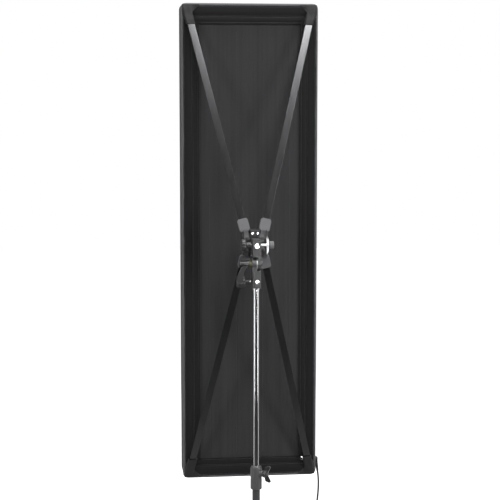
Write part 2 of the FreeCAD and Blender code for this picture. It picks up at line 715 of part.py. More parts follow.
# ---------------------------------------------------------------- column
def column():
    """Three telescoping tubes, their clamp collars and the pin on top."""
    pin = body("stand_pin")
    groove_low = "socket_screw - groove_tall / 2"
    groove_high = "socket_screw + groove_tall / 2"
    revolve(pin, [("0", "ring_height - plug_deep"),
                  ("top_tube - top_wall", "ring_height - plug_deep"),
                  ("top_tube - top_wall", "ring_height"), ("ring_radius", "ring_height"),
                  ("ring_radius", "ring_top"), ("spigot_radius", "ring_top"),
                  ("spigot_radius", groove_low), ("spigot_radius - groove_deep", groove_low),
                  ("spigot_radius - groove_deep", groove_high), ("spigot_radius", groove_high),
                  ("spigot_radius", "ring_top + pin_tall - pin_edge"),
                  ("spigot_radius - pin_edge", "ring_top + pin_tall"),
                  ("0", "ring_top + pin_tall")])
    telescoping_tube("top_tube_section", "top_tube", "top_wall", "top_tube_low", "ring_height",
                     "mid_tube - mid_wall - guide_gap")
    telescoping_tube("middle_tube_section", "mid_tube", "mid_wall", "mid_tube_low",
                     "mid_tube_top", "base_tube - base_wall - guide_gap")
    keep(tube("base", "base_tube", "base_tube - base_wall", "base_tube_top - base_bottom",
              ("0", "0", "base_bottom")), "base_tube_section")
    collar("top_collar", "top_collar_height", "mid_tube", "top_tube", "collar_turn")
    collar("base_collar", "base_collar_height", "base_tube", "mid_tube", "base_turn")
    cap = rod("end_cap_solid", "base_tube + end_cap_wall", "end_cap_tall + end_cap_wall",
              ("0", "0", "base_bottom - end_cap_wall"))
    room = rod("end_cap_room", "base_tube", "end_cap_tall", ("0", "0", "base_bottom"))
    keep(cut("end_cap", cap, room), "column_end_cap")


def telescoping_tube(label, radius, wall, low, high, guide):
    """A tube with a guide ring at its lower end that runs inside the next tube."""
    section = body(label)
    inner = "%s - %s" % (radius, wall)
    revolve(section, [(inner, low), (guide, low), (guide, low + " + guide_tall"),
                      (radius, low + " + guide_tall"), (radius, high), (inner, high)])


def collar(label, top, outer, inner, turn_value):
    """A clamp collar: it seats on the outer tube and runs on the inner one."""
    clamp = body(label)
    radius = outer + " + collar_wall"
    low = "%s - collar_tall" % top
    lip = "%s - collar_lip" % top
    revolve(clamp, [(outer, low), (radius + " - collar_edge", low),
                    (radius, low + " + collar_edge"), (radius, top + " - collar_top_edge"),
                    (radius + " - collar_top_edge", top),
                    (inner + " + run_fit", top), (inner + " + run_fit", lip), (outer, lip)])
    middle = "%s - collar_lip / 2" % top
    boss = radius + " + collar_boss_out"
    pad(clamp, "YZ_Plane", outer + " + boss_root", boss,
        lambda s: circle(s, "collar_boss", "0", middle))
    pocket(clamp, "YZ_Plane", inner + " - 1", boss,
           lambda s: circle(s, "lock_bore", "0", middle))
    clamp.Placement.Rotation = FreeCAD.Rotation(Z, number(turn_value))
    collar_knob(label + "_knob", "%s + lock_gap" % inner, middle, turn_value)


# ---------------------------------------------------------------- legs
LEGS = {"front": 90, "left": 210, "right": 330}


def leg_frame(heading, height, tilt):
    """A frame on a leg's pivot: X outwards, Y across, Z up, then leaned about Y."""
    out = FreeCAD.Rotation(Z, heading)
    spot = out.multVec(Vector(number("leg_pivot_out"), 0, number(height)))
    return FreeCAD.Placement(spot, out.multiply(FreeCAD.Rotation(Y, tilt)))


def channel(wide, thick, wall, low, high):
    """A U-section bar along -Z with its open side towards the column."""
    outside = Part.makeBox(thick, wide, high - low, Vector(-thick / 2, -wide / 2, -high))
    room = Part.makeBox(thick, wide - 2 * wall, high - low + 2,
                        Vector(-thick / 2 - wall, -wide / 2 + wall, -high - 1))
    return outside.cut(room)


def leg(name, heading):
    """A channel leg on its casting lug, with a rubber foot."""
    frame = leg_frame(heading, "leg_pivot", -number("leg_angle"))
    wide, thick = number("leg_wide"), number("leg_thick")
    wall, length = number("leg_wall"), number("leg_length")
    solid = channel(wide, thick, wall, -number("leg_top"), length)
    pin = Part.makeCylinder(number("leg_pin + run_fit"), wide + 2, Vector(0, -wide / 2 - 1, 0), Y)
    joint = Part.makeCylinder(number("brace_pin + run_fit"), wide + 2,
                              Vector(0, -wide / 2 - 1, -number("brace_length")), Y)
    shaped("leg_" + name, solid.cut([pin, joint]), frame)
    cover, tall = number("foot_wall"), number("foot_tall")
    radius = number("foot_radius")
    cup = Part.makeBox(thick + 2 * cover, wide + 2 * cover, tall,
                       Vector(-thick / 2 - cover, -wide / 2 - cover, -length))
    tread = Part.makeCylinder(radius, wide + 2 * cover, Vector(0, -wide / 2 - cover, -length), Y)
    inside = channel(wide, thick, wall, -number("leg_top"), length)
    below = Part.makeBox(2 * length, 2 * length, length, Vector(-length, -length, -length))
    solid = cup.fuse(tread).cut([inside, placed(below, frame.inverse())]).removeSplitter()
    shaped("foot_" + name, solid, frame)


def brace(name, heading):
    """A flat brace from a leg to the sliding ring, with its pin through the leg."""
    frame = leg_frame(heading, "leg_pivot", -number("leg_angle"))
    reach = number("brace_length")
    spot = frame.multVec(Vector(0, 0, -reach))
    out = FreeCAD.Rotation(Z, heading)
    turn = out.multiply(FreeCAD.Rotation(Y, number("leg_angle")))
    wide, thick = number("brace_wide"), number("brace_thick")
    strap = Part.makeBox(thick, wide, reach, Vector(-thick / 2, -wide / 2, -reach))
    ends = [Part.makeCylinder(thick / 2, wide, Vector(0, -wide / 2, -along), Y)
            for along in (0, reach)]
    pin = Part.makeCylinder(number("brace_pin"), number("leg_wide"),
                            Vector(0, -number("leg_wide") / 2, 0), Y)
    shaped("brace_" + name, strap.fuse(ends + [pin]).removeSplitter(),
           FreeCAD.Placement(spot, turn))


def leg_hardware():
    """The fixed casting with its lugs and pins, and the sliding ring with its ears."""
    centre, tube_radius = number("leg_pivot"), number("base_tube")
    casting = ears("casting_wall", "casting_tall", centre, "leg_wide", tube_radius,
                   number("leg_pivot_out + ear_out"), number("ear_tall"))
    pins = []
    for heading in LEGS.values():
        frame = leg_frame(heading, "leg_pivot", 0)
        outside = number("leg_wide / 2 + lug_play + lug_plate")
        pin = Part.makeCylinder(number("leg_pin"), 2 * outside, Vector(0, -outside, 0), Y)
        for side in (-1, 1):
            head = number("pin_head_thick")
            base = Vector(0, outside if side > 0 else -outside - head, 0)
            pin = pin.fuse(Part.makeCylinder(number("leg_pin + pin_head"), head, base, Y))
        pin = placed(pin, frame)
        casting = casting.cut(pin)
        pins.append(pin.removeSplitter())
    shaped("leg_casting", casting, FreeCAD.Placement())
    shaped("leg_pins", Part.makeCompound(pins), FreeCAD.Placement())
    slider = ears("slider_wall", "slider_tall", number("slider_pivot"), "brace_wide",
                  tube_radius + number("run_fit"), number("leg_pivot_out + slider_out"),
                  number("slider_tall"))
    shaped("sliding_ring", slider, FreeCAD.Placement())


def ears(wall, tall, height, gap_width, bore, reach, ear_tall):
    """A ring on the column with a pair of plates for each leg."""
    ring_outer, high = bore + number(wall), number(tall)
    ring = Part.makeCylinder(ring_outer, high, Vector(0, 0, height - high / 2))
    plate, play = number("lug_plate"), number("lug_play")
    half = number(gap_width) / 2 + play
    plates = []
    for heading in LEGS.values():
        for side in (-1, 1):
            low = half if side > 0 else -half - plate
            ear = Part.makeBox(reach - bore - 1, plate, ear_tall,
                               Vector(bore + 1, low, height - ear_tall / 2))
            ear.rotate(Vector(), Z, heading)
            plates.append(ear)
    solid = ring.fuse(plates).removeSplitter()
    return solid.cut(Part.makeCylinder(bore, high * 3, Vector(0, 0, height - high * 1.5)))


# ---------------------------------------------------------------- power cord
def cord_route():
    """Centre line of the hanging cord, from the gland's lower face to the connector."""
    x, y, z = number("box_width / 2"), number("gland_y"), number("gland_z")
    return [Vector(x + 5, y, z), Vector(x + 10, y + 0.5, z - 25), Vector(x + 13, y + 2, z - 60),
            Vector(x + 11, y + 4, z - 100), Vector(x + 5.5, y + 5, z - 144),
            Vector(x + 2, y + 3.5, z - 188), Vector(x + 3, y + 1, z - 230),
            Vector(x + 6.5, y, z - 266)]


def cord_path(points):
    """Straight runs joined by tangent arcs, each as large as its two runs allow."""
    edges, radii, start = [], [], points[0]
    for before, corner, after in zip(points, points[1:], points[2:]):
        back, ahead = before - corner, after - corner
        reach = 0.45 * min(back.Length, ahead.Length)
        half = (math.pi - back.getAngle(ahead)) / 2
        radius = reach / math.tan(half)
        back.normalize()
        ahead.normalize()
        first, last = corner + back * reach, corner + ahead * reach
        inward = (back + ahead).normalize()
        middle = corner + inward * (radius / math.cos(half) - radius)
        edges += [Part.LineSegment(start, first).toShape(), Part.Arc(first, middle, last).toShape()]
        radii.append(round(radius, 1))
        start = last
    edges.append(Part.LineSegment(start, points[-1]).toShape())
    print("cord arc radii", radii)
    return Part.Wire(edges)


def cord():
    """The pigtail with its gland on the right wall and its connector."""
    x, y, z = number("box_width / 2"), number("gland_y"), number("gland_z")
    wide, deep, tall = number("gland_wide"), number("gland_deep"), number("gland_tall")
    gland = Part.makeBox(wide, deep, tall, Vector(x, y - deep / 2, z))
    gland = gland.makeFillet(3, [e for e in gland.Edges if e.CenterOfMass.x > x + wide - 1])
    shaped("cable_gland", gland, FreeCAD.Placement())
    points = cord_route()
    path = cord_path(points)
    radius = number("cord_radius")
    disc = Part.Wire(Part.makeCircle(radius, points[0], points[1] - points[0]))
    solid = path.makePipeShell([disc], True, True)
    expected = math.pi * radius ** 2 * path.Length
    if abs(solid.Volume - expected) > 0.01 * expected:
        raise ValueError("the cord's tube is not its section along its path")
    print("cord length", round(path.Length, 1))
    shaped("power_cord", solid, FreeCAD.Placement())
    heading = points[-1] - points[-2]
    plug_radius, long = number("plug_radius"), number("plug_long")
    plug = Part.makeCylinder(plug_radius, long, points[-1], heading)
    edges = [e for e in plug.Edges if isinstance(e.Curve, Part.Circle)]
    shaped("cord_connector", plug.makeChamfer(1.5, edges), FreeCAD.Placement())


# ---------------------------------------------------------------- assembly
def build():
    softbox_shell()
    diffuser()
    mat()
    for side, across in ((-1, "left"), (1, "right")):
        for level, upright in ((1, "top"), (-1, "bottom")):
            place = upright + "_" + across
            arm(side, level, place)
            sleeve(side, level, place)
            corner_pocket(side, level, place)
    hub()
    spigot()
    tilt_head()
    stand_socket()
    tilt_pivot()
    tilt_lever()
    lobed_knob("spigot_knob", "head_width / 2 + knob_stand - spigot_radius - lock_gap",
               "knob_thick", ("-spigot_radius - lock_gap", "0", "spigot_height"),
               FreeCAD.Rotation(Z, -X))
    lobed_knob("socket_knob", "socket_width / 2 + socket_knob_stand - spigot_radius - lock_gap",
               "socket_knob_thick", ("-spigot_radius - lock_gap", "0", "socket_screw"),
               FreeCAD.Rotation(Z, -X))
    wing_screw()
    column()
    for name, heading in LEGS.items():
        leg(name, heading)
        brace(name, heading)
    leg_hardware()
    cord()


def centre_on_floor():
    """Move every sub-part along Y, so that the origin is the middle of the feet's box."""
    for item in subparts:
        if item.TypeId == "Part::Feature":
            item.Placement.move(Vector(0, number("column_y"), 0))
            continue
        places = [text for path, text in item.ExpressionEngine if path.endswith("Base.y")]
        start = places[0] if places else "0"
        item.setExpression("Placement.Base.y", "%s + %s" % (start, bound("column_y")))


def export():
    """Check the document, then write each sub-part to its own file."""
    doc.recompute()
    for item in doc.Objects:
        if "Invalid" in item.State or "Error" in item.State:
            raise ValueError("%s has not been computed" % item.Label)
    os.makedirs("parts", exist_ok=True)
    for item in subparts:
        if item.Shape.isNull() or not item.Shape.isValid():
            raise ValueError("%s has no valid shape" % item.Label)
    for item in subparts:
        item.Shape.exportStep("parts/%s.step" % item.Label)
    print(len(subparts), "sub-parts")


build()
centre_on_floor()
export()
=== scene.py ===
import json
import math

import bmesh
import bpy
from mathutils import Matrix, Vector, noise


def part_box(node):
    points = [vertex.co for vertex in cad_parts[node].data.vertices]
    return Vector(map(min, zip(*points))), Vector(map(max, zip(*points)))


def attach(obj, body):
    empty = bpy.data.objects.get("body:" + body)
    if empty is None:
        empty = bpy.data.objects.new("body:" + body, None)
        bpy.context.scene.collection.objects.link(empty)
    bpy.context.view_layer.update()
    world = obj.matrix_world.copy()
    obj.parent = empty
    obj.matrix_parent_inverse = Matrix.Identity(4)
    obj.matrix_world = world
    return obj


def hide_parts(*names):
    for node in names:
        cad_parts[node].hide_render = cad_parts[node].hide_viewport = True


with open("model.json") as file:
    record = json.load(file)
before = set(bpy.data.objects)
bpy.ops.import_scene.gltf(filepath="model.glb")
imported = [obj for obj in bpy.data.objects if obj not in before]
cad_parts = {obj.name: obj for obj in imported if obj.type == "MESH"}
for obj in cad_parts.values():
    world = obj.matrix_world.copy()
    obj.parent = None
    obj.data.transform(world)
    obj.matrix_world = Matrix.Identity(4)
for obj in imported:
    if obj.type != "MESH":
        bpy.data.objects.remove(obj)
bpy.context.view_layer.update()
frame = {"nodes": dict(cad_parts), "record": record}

bl_info = {
    "name": "Strip softbox",
    "version": (1, 0, 0),
    "blender": (4, 5, 0),
    "location": "View3D > Sidebar > Softbox",
    "description": "A strip softbox on its X bracket, tilt head and light stand",
    "category": "Add Mesh",
}

NODES = frame["nodes"]
BODY_OF = {node: body for body, nodes in frame["record"]["behaviour"]["bodies"].items()
           for node in nodes}
SLOT_OF = {row["node"]: row["material_slot"] for row in frame["record"]["subparts"]}

# The softbox, in metres: its rear plane, its middle and its outline.
SHELL_LOW, SHELL_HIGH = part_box("softbox_shell")
REAR, FRONT = SHELL_LOW.y, SHELL_HIGH.y
HALF_WIDE = SHELL_HIGH.x
HALF_TALL = (SHELL_HIGH.z - SHELL_LOW.z) / 2
MIDDLE = (SHELL_HIGH.z + SHELL_LOW.z) / 2
SIDE_BORDER, END_BORDER = 0.048, 0.055
COLUMN_Y = sum(corner.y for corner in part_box("top_tube_section")) / 2
SPIGOT_Z = sum(corner.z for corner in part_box("spigot")) / 2
TILT_Z = sum(corner.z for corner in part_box("tilt_washer")) / 2
LOCK_Z = sum(corner.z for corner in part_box("socket_knob")) / 2
LEVELS = {"top": 1, "bottom": -1}
SIDES = {"left": -1, "right": 1}
LEGS = ("front", "left", "right")
RING_Z = 1.35      # underside of the ring on the stand pin
CLOTH_ANGLE = 60    # cloth stays smooth over folds up to this angle, in degrees


# ------------------------------------------------------------------ settings
def length(name, text, value):
    return bpy.props.FloatProperty(name=name, description=text, default=value,
                                   unit="LENGTH", precision=4)


def colour(name, text, value):
    return bpy.props.FloatVectorProperty(name=name, description=text, subtype="COLOR",
                                         size=3, min=0, max=1, default=value)


class SOFTBOX_PG_cloth(bpy.types.PropertyGroup):
    """Sizes and colours of the sewn parts."""
    binding: length("Binding radius", "Radius of the piped edge at the back", 0.0042)
    hem: length("Cloth thickness", "Thickness of the walls and the rear border", 0.0018)
    bow: length("Wall bow", "How far the long walls pull in at their middle", 0.0016)
    rib: length("Rib pitch", "Distance between the ribs of the mat's back", 0.0118)
    stitch: length("Stitch pitch", "Distance from one stitch to the next", 0.0048)
    walls: colour("Wall colour", "Nylon of the walls and border", (0.0068, 0.0068, 0.0073))
    # The binding's grey, much lighter than the walls, is mostly a painted highlight for the light
    # that the rounded rear edge catches.
    binding_with_rim_highlight: colour("Binding colour", "Tape round the rear edge", (0.075, 0.075, 0.079))
    mat: colour("Mat colour", "Ribbed cloth on the back of the mat", (0.0235, 0.0235, 0.0245))
    front: colour("Diffuser colour", "White front cloth", (0.84, 0.84, 0.825))


class SOFTBOX_PG_bracket(bpy.types.PropertyGroup):
    """Sizes and colours of the X bracket and tilt head."""
    edge: length("Edge rounding", "Rounding of moulded and cast edges", 0.0008)
    arms: colour("Arm colour", "Spring steel strips", (0.1, 0.1, 0.103))
    sleeves: colour("Sleeve colour", "Grey moulded sleeves", (0.115, 0.115, 0.12))
    plastic: colour("Plastic colour", "Black moulded parts", (0.02, 0.02, 0.021))


class SOFTBOX_PG_stand(bpy.types.PropertyGroup):
    """Sizes and colours of the light stand."""
    wall: length("Tube wall", "Wall of the chromed tube", 0.001)
    coat: colour("Coat colour", "Satin coating of tubes and legs", (0.05, 0.05, 0.052))
    collar: colour("Collar colour", "Moulded clamp collars", (0.075, 0.075, 0.078))


class SOFTBOX_PG_cord(bpy.types.PropertyGroup):
    """The power pigtail."""
    diameter: length("Diameter", "Diameter of the cord", 0.005)
    total: length("Length", "Length of the cord from its gland to its connector", 0.267)


class SOFTBOX_PG_studio(bpy.types.PropertyGroup):
    """Camera and lights."""
    distance: length("Camera distance", "From the lens to the back of the softbox", 3.5)
    azimuth: bpy.props.FloatProperty(
        name="Azimuth", description="Camera's angle about the object",
        default=math.radians(-6.0), subtype="ANGLE")
    elevation: bpy.props.FloatProperty(
        name="Elevation", description="Camera's angle above the softbox",
        default=math.radians(6.1), subtype="ANGLE")
    lens: bpy.props.FloatProperty(
        name="Lens", description="Focal length on a 36 mm sensor", default=93.6, min=10)
    power: bpy.props.FloatProperty(
        name="Light", description="Strength of the studio lights", default=0.36, min=0)


def settings(name):
    return getattr(bpy.context.scene, "softbox_" + name)


# ------------------------------------------------------------------ mesh tools
def only(piece):
    """Leave one piece selected and active."""
    bpy.ops.object.select_all(action="DESELECT")
    piece.select_set(True)
    bpy.context.view_layer.objects.active = piece


def begin_edit(piece, kind="VERT"):
    only(piece)
    bpy.ops.object.mode_set(mode="EDIT")
    bpy.ops.mesh.select_mode(type=kind)
    bpy.ops.mesh.select_all(action="DESELECT")
    return bmesh.from_edit_mesh(piece.data)


def end_edit(piece):
    bmesh.update_edit_mesh(piece.data)
    bpy.ops.object.mode_set(mode="OBJECT")


def loft(name, sections, ends=(True, True), ring=False):
    """Grow a closed outline from section to section and close its ends, or its ring."""
    count = len(sections[0])
    if ring:
        sections = list(sections) + [sections[0]]
    bpy.ops.object.select_all(action="DESELECT")
    bpy.ops.mesh.primitive_circle_add(vertices=count, radius=0.01, location=(0, 0, 0))
    piece = bpy.context.object
    piece.name = piece.data.name = name
    mesh = begin_edit(piece)
    mesh.verts.layers.int.new("row")
    step = mesh.verts.layers.int.new("step")
    mesh.verts.ensure_lookup_table()
    for i in range(count):
        mesh.verts[i][step] = i
        mesh.verts[i].co = sections[0][i]
    bmesh.update_edit_mesh(piece.data)
    bpy.ops.mesh.select_all(action="SELECT")
    for level, section in enumerate(sections[1:], 1):
        bpy.ops.mesh.extrude_edges_indiv()
        mesh = bmesh.from_edit_mesh(piece.data)
        step = mesh.verts.layers.int["step"]
        row = mesh.verts.layers.int["row"]
        for vert in mesh.verts:
            if vert.select:
                vert[row] = level
                vert.co = section[vert[step]]
        bmesh.update_edit_mesh(piece.data)
    last = len(sections) - 1
    if ring:
        bpy.ops.mesh.select_all(action="SELECT")
        bpy.ops.mesh.remove_doubles(threshold=0.000001)
    else:
        for level, wanted in ((0, ends[0]), (last, ends[1])):
            if not wanted:
                continue
            bpy.ops.mesh.select_all(action="DESELECT")
            mesh = bmesh.from_edit_mesh(piece.data)
            row = mesh.verts.layers.int["row"]
            for vert in mesh.verts:
                vert.select_set(vert[row] == level)
            mesh.select_flush_mode()
            bmesh.update_edit_mesh(piece.data)
            bpy.ops.mesh.edge_face_add()
    bpy.ops.mesh.select_all(action="SELECT")
    bpy.ops.mesh.normals_make_consistent(inside=False)
    end_edit(piece)
    for layer in ("step", "row"):
        piece.data.attributes.remove(piece.data.attributes[layer])
    return piece


def facing(origin, direction):
    """A frame at a point with its Z axis along a direction."""
    turn = Vector(direction).to_track_quat("Z", "Y")
    return Matrix.Translation(origin) @ turn.to_matrix().to_4x4()


def on_column(height):
    """The upward frame on the column's axis."""
    return facing((0, COLUMN_Y, height), (0, 0, 1))


def on_bolt(node, height):
    """The frame at a node's left end, pointing right across the column, and its length."""
    low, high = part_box(node)
    return facing((low.x, COLUMN_Y, height), (1, 0, 0)), high.x - low.x


def outline(place, height, count, reach):
    """A closed run of points about the frame's axis, as far out as reach says at each angle."""
    spots = []
    for i in range(count):
        angle = math.tau * i / count
        out = reach(angle)
        spots.append(place @ Vector((out * math.cos(angle), out * math.sin(angle), height)))
    return spots


def circle(place, radius, height, count):
    return outline(place, height, count, lambda angle: radius)


def hexagon(place, flat, height, count):
    """An outline of six flats with as many points as its neighbours."""
    def reach(angle):
        return flat / math.cos((angle + math.pi / 6) % (math.pi / 3) - math.pi / 6)
    return outline(place, height, count, reach)


def turned(name, place, profile, count=40, ring=False):
    """A turned piece from (radius, height) pairs along the frame's Z axis."""
    return loft(name, [circle(place, r, h, count) for r, h in profile], ring=ring)


def lobed(name, place, profile, lobes, count, ring=False):
    """A knob from (radius, height, lobe depth) rows."""
    def section(radius, height, depth):
        def reach(angle):
            return radius - max(0.0, math.cos(lobes * angle)) ** 2 * depth
        return outline(place, height, count, reach)
    return loft(name, [section(*row) for row in profile], ring=ring)


def screw_head(name, place, rows, recess, count):
    """A turned head from (radius, height) rows and its recess from (half flat, height) rows."""
    sections = [circle(place, r, h, count) for r, h in rows]
    return loft(name, sections + [hexagon(place, r, h, count) for r, h in recess])


def slab(name, low, high, edge, segments=3):
    """A box at its place, with every edge rounded in edit mode."""
    low, high = Vector(low), Vector(high)
    bpy.ops.object.select_all(action="DESELECT")
    bpy.ops.mesh.primitive_cube_add(size=1, location=(low + high) / 2)
    piece = bpy.context.object
    piece.name = piece.data.name = name
    piece.scale = high - low
    bpy.ops.object.transform_apply(location=True, rotation=True, scale=True)
    begin_edit(piece, "EDGE")
    bpy.ops.mesh.select_all(action="SELECT")
    bpy.ops.mesh.bevel(offset=edge, segments=segments, affect="EDGES")
    end_edit(piece)
    return piece


def refined(node, name, edge=None, segments=2, angle=35):
    """A copy of a CAD node with merged faces and rounded edges."""
    bpy.ops.object.select_all(action="DESELECT")
    piece = bpy.data.objects.new(name, NODES[node].data.copy())
    piece.data.name = name
    bpy.context.scene.collection.objects.link(piece)
    begin_edit(piece)
    bpy.ops.mesh.select_all(action="SELECT")
    bpy.ops.mesh.customdata_custom_splitnormals_clear()
    bpy.ops.mesh.remove_doubles(threshold=0.00002)
    bpy.ops.mesh.dissolve_limited(angle_limit=math.radians(1))
    end_edit(piece)
    bevel = piece.modifiers.new("edges", "BEVEL")
    bevel.width = settings("bracket").edge if edge is None else edge
    bevel.segments = segments
    bevel.limit_method = "ANGLE"
    bevel.angle_limit = math.radians(angle)
    bpy.ops.object.modifier_apply(modifier="edges")
    return piece


def outward(piece):
    """Turn every face outward and leave the piece active."""
    begin_edit(piece)
    bpy.ops.mesh.select_all(action="SELECT")
    bpy.ops.mesh.normals_make_consistent(inside=False)
    end_edit(piece)


def grid_cloth(name, columns, rows, shape, thickness):
    """A sheet from a grid whose points the shape function places, given a thickness."""
    bpy.ops.object.select_all(action="DESELECT")
    bpy.ops.mesh.primitive_grid_add(x_subdivisions=columns, y_subdivisions=rows, size=1,
                                    location=(0, 0, 0))
    piece = bpy.context.object
    piece.name = piece.data.name = name
    for vert in piece.data.vertices:
        vert.co = shape(vert.co.x, vert.co.y)
    outward(piece)
    solid = piece.modifiers.new("cloth", "SOLIDIFY")
    solid.thickness = thickness
    solid.offset = 0
    bpy.ops.object.modifier_apply(modifier="cloth")
    return piece


def joined(name, pieces):
    """Several meshes made one piece."""
    only(pieces[0])
    for piece in pieces[1:]:
        piece.select_set(True)
    bpy.ops.object.join()
    piece = bpy.context.object
    piece.name = piece.data.name = name
    return piece


def copied(piece, name, matrix):
    """A copy with a mesh of its own at another place."""
    twin = bpy.data.objects.new(name, piece.data.copy())
    twin.data.name = name
    twin.data.transform(matrix)
    bpy.context.scene.collection.objects.link(twin)
    return twin


def at_corners(piece, x, z):
    """A piece made at (-x, -z) from the spigot, with its copies at the other three corners."""
    shifts = ((0, 2 * z), (2 * x, 0), (2 * x, 2 * z))
    return [piece] + [copied(piece, piece.name, Matrix.Translation((dx, 0, dz)))
                      for dx, dz in shifts]


def dress(piece, finish, body, angle=38):
    """Shade a finished piece, paint it and hang it on its body."""
    only(piece)
    bpy.ops.object.shade_smooth_by_angle(angle=math.radians(angle))
    if angle < CLOTH_ANGLE:
        flatten(piece)
    piece.data.materials.clear()
    piece.data.materials.append(material(finish))
    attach(piece, body)
    return piece


def stand_in(piece, finish, node, angle=38):
    """Dress a piece that is shown in place of a CAD node."""
    dress(piece, finish, BODY_OF[node], angle)
    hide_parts(node)
    return piece


def flatten(piece):
    """Keep broad faces flat to the eye between their rounded edges."""
    only(piece)
    weigh = piece.modifiers.new("flat", "WEIGHTED_NORMAL")
    weigh.weight = 90
    weigh.keep_sharp = True
    bpy.ops.object.modifier_apply(modifier="flat")


def recast(node, finish=None, edge=None, segments=2, angle=35, extra=()):
    """A CAD node's copy with rounded edges and further parts, in place of the node."""
    piece = refined(node, node + "_finished", edge, segments, angle)
    if extra:
        piece = joined(node + "_finished", [piece] + list(extra))
    return stand_in(piece, finish or SLOT_OF[node], node)


def stitches(name, runs, lift=0.0):
    """Rows of thread, each run from a point to a point on the cloth's rear face."""
    pitch = settings("cloth").stitch
    place = facing((0, 0, 0), (0, 0, 1))
    spindle = [(0.00016, 0.0), (0.0004, pitch * 0.16), (0.0004, pitch * 0.5),
               (0.00016, pitch * 0.66)]
    rows = []
    for start, end in runs:
        start, end = Vector(start), Vector(end)
        thread = turned("thread", place, spindle, 6)
        array = thread.modifiers.new("row", "ARRAY")
        array.use_relative_offset = False
        array.use_constant_offset = True
        array.constant_offset_displace = (0, 0, pitch)
        array.count = max(1, int((end - start).length / pitch))
        only(thread)
        bpy.ops.object.modifier_apply(modifier="row")
        thread.data.transform(facing(start, end - start))
        for vert in thread.data.vertices:
            vert.co.y += rear_wave(vert.co.x, vert.co.z) - lift
        rows.append(thread)
    return joined(name, rows)


# ------------------------------------------------------------------ materials
def add(tree, kind, setup=None, **inputs):
    """A node; an input is a value or another node's socket, and i0, i1 count sockets."""
    node = tree.nodes.new("ShaderNode" + kind)
    for key, value in (setup or {}).items():
        setattr(node, key, value)
    for key, value in inputs.items():
        place = int(key[1:]) if key[0] == "i" and key[1:].isdigit() else key.replace("_", " ")
        socket = node.inputs[place]
        if isinstance(value, bpy.types.NodeSocket):
            tree.links.new(value, socket)
        else:
            socket.default_value = value
    return node


def effect(name, sizes, results, build):
    """A node group: a vector and the named sizes go in, and the named results come out."""
    tree = bpy.data.node_groups.new(name, "ShaderNodeTree")
    tree.interface.new_socket(name="Vector", in_out="INPUT", socket_type="NodeSocketVector")
    for label, value in sizes.items():
        socket = tree.interface.new_socket(name=label, in_out="INPUT",
                                           socket_type="NodeSocketFloat")
        socket.default_value = value
    for label in results:
        tree.interface.new_socket(name=label, in_out="OUTPUT", socket_type="NodeSocketFloat")
    way_in, way_out = tree.nodes.new("NodeGroupInput"), tree.nodes.new("NodeGroupOutput")
    built = build(tree, *way_in.outputs[:len(sizes) + 1])
    for socket, result in zip(way_out.inputs, built):
        tree.links.new(result, socket)
    return tree


def math_node(tree, operation, first, second=0.5, clamp=False, third=0.5):
    setup = {"operation": operation, "use_clamp": clamp}
    return add(tree, "Math", setup, i0=first, i1=second, i2=third).outputs[0]


def weave(tree, where, threads, slub):
    """Crossed threads with slubs: a tone for colour and a height for bump."""
    waves = []
    for axis in "XYZ":
        setup = {"wave_type": "BANDS", "bands_direction": axis, "wave_profile": "SIN"}
        wave = add(tree, "TexWave", setup, Vector=where, Scale=threads, Distortion=0.6,
                   Detail=1.0, Detail_Scale=0.4)
        waves.append(math_node(tree, "SUBTRACT", wave.outputs["Fac"]))
    crossed = [math_node(tree, "MULTIPLY", waves[a], waves[b])
               for a, b in ((0, 2), (0, 1), (1, 2))]
    total = math_node(tree, "ADD", math_node(tree, "ADD", crossed[0], crossed[1]), crossed[2])
    height = math_node(tree, "ADD", total)
    clumps = add(tree, "TexNoise", Vector=where, Scale=70.0, Detail=6.0, Roughness=0.65)
    mixed = math_node(tree, "MULTIPLY", math_node(tree, "SUBTRACT", clumps.outputs["Fac"]), slub)
    tone = math_node(tree, "ADD", math_node(tree, "MULTIPLY_ADD", total, 0.5), mixed, True)
    return tone, height


def streaks(tree, where, fineness, long):
    """Fine lines along Z, as drawn or brushed strip and ribbed cloth have."""
    parts = add(tree, "SeparateXYZ", i0=where)
    squeezed = math_node(tree, "MULTIPLY", parts.outputs[2], long)
    drawn = add(tree, "CombineXYZ", i0=parts.outputs[0], i1=parts.outputs[1], i2=squeezed)
    lines = add(tree, "TexNoise", Vector=drawn.outputs[0], Scale=fineness, Detail=3.0,
                Roughness=0.6)
    broad = add(tree, "TexNoise", Vector=drawn.outputs[0], Scale=60.0, Detail=2.0)
    tone = math_node(tree, "MULTIPLY_ADD", lines.outputs["Fac"], 0.5)
    tone = math_node(tree, "ADD", tone, math_node(tree, "SUBTRACT", broad.outputs["Fac"]), True)
    return tone, lines.outputs["Fac"]


def grain(tree, where, pebbles, clouds):
    """The pebbled skin of mouldings, castings and coats."""
    cells = add(tree, "TexVoronoi", {"feature": "SMOOTH_F1"}, Vector=where, Scale=pebbles)
    mist = add(tree, "TexNoise", Vector=where, Scale=clouds, Detail=5.0, Roughness=0.6)
    fine = add(tree, "TexNoise", Vector=where, Scale=pebbles, Detail=2.0)
    tone = math_node(tree, "MULTIPLY_ADD", fine.outputs["Fac"], 0.4, third=0.0)
    tone = math_node(tree, "ADD", tone, math_node(tree, "MULTIPLY", mist.outputs["Fac"], 0.6))
    return tone, cells.outputs["Distance"]


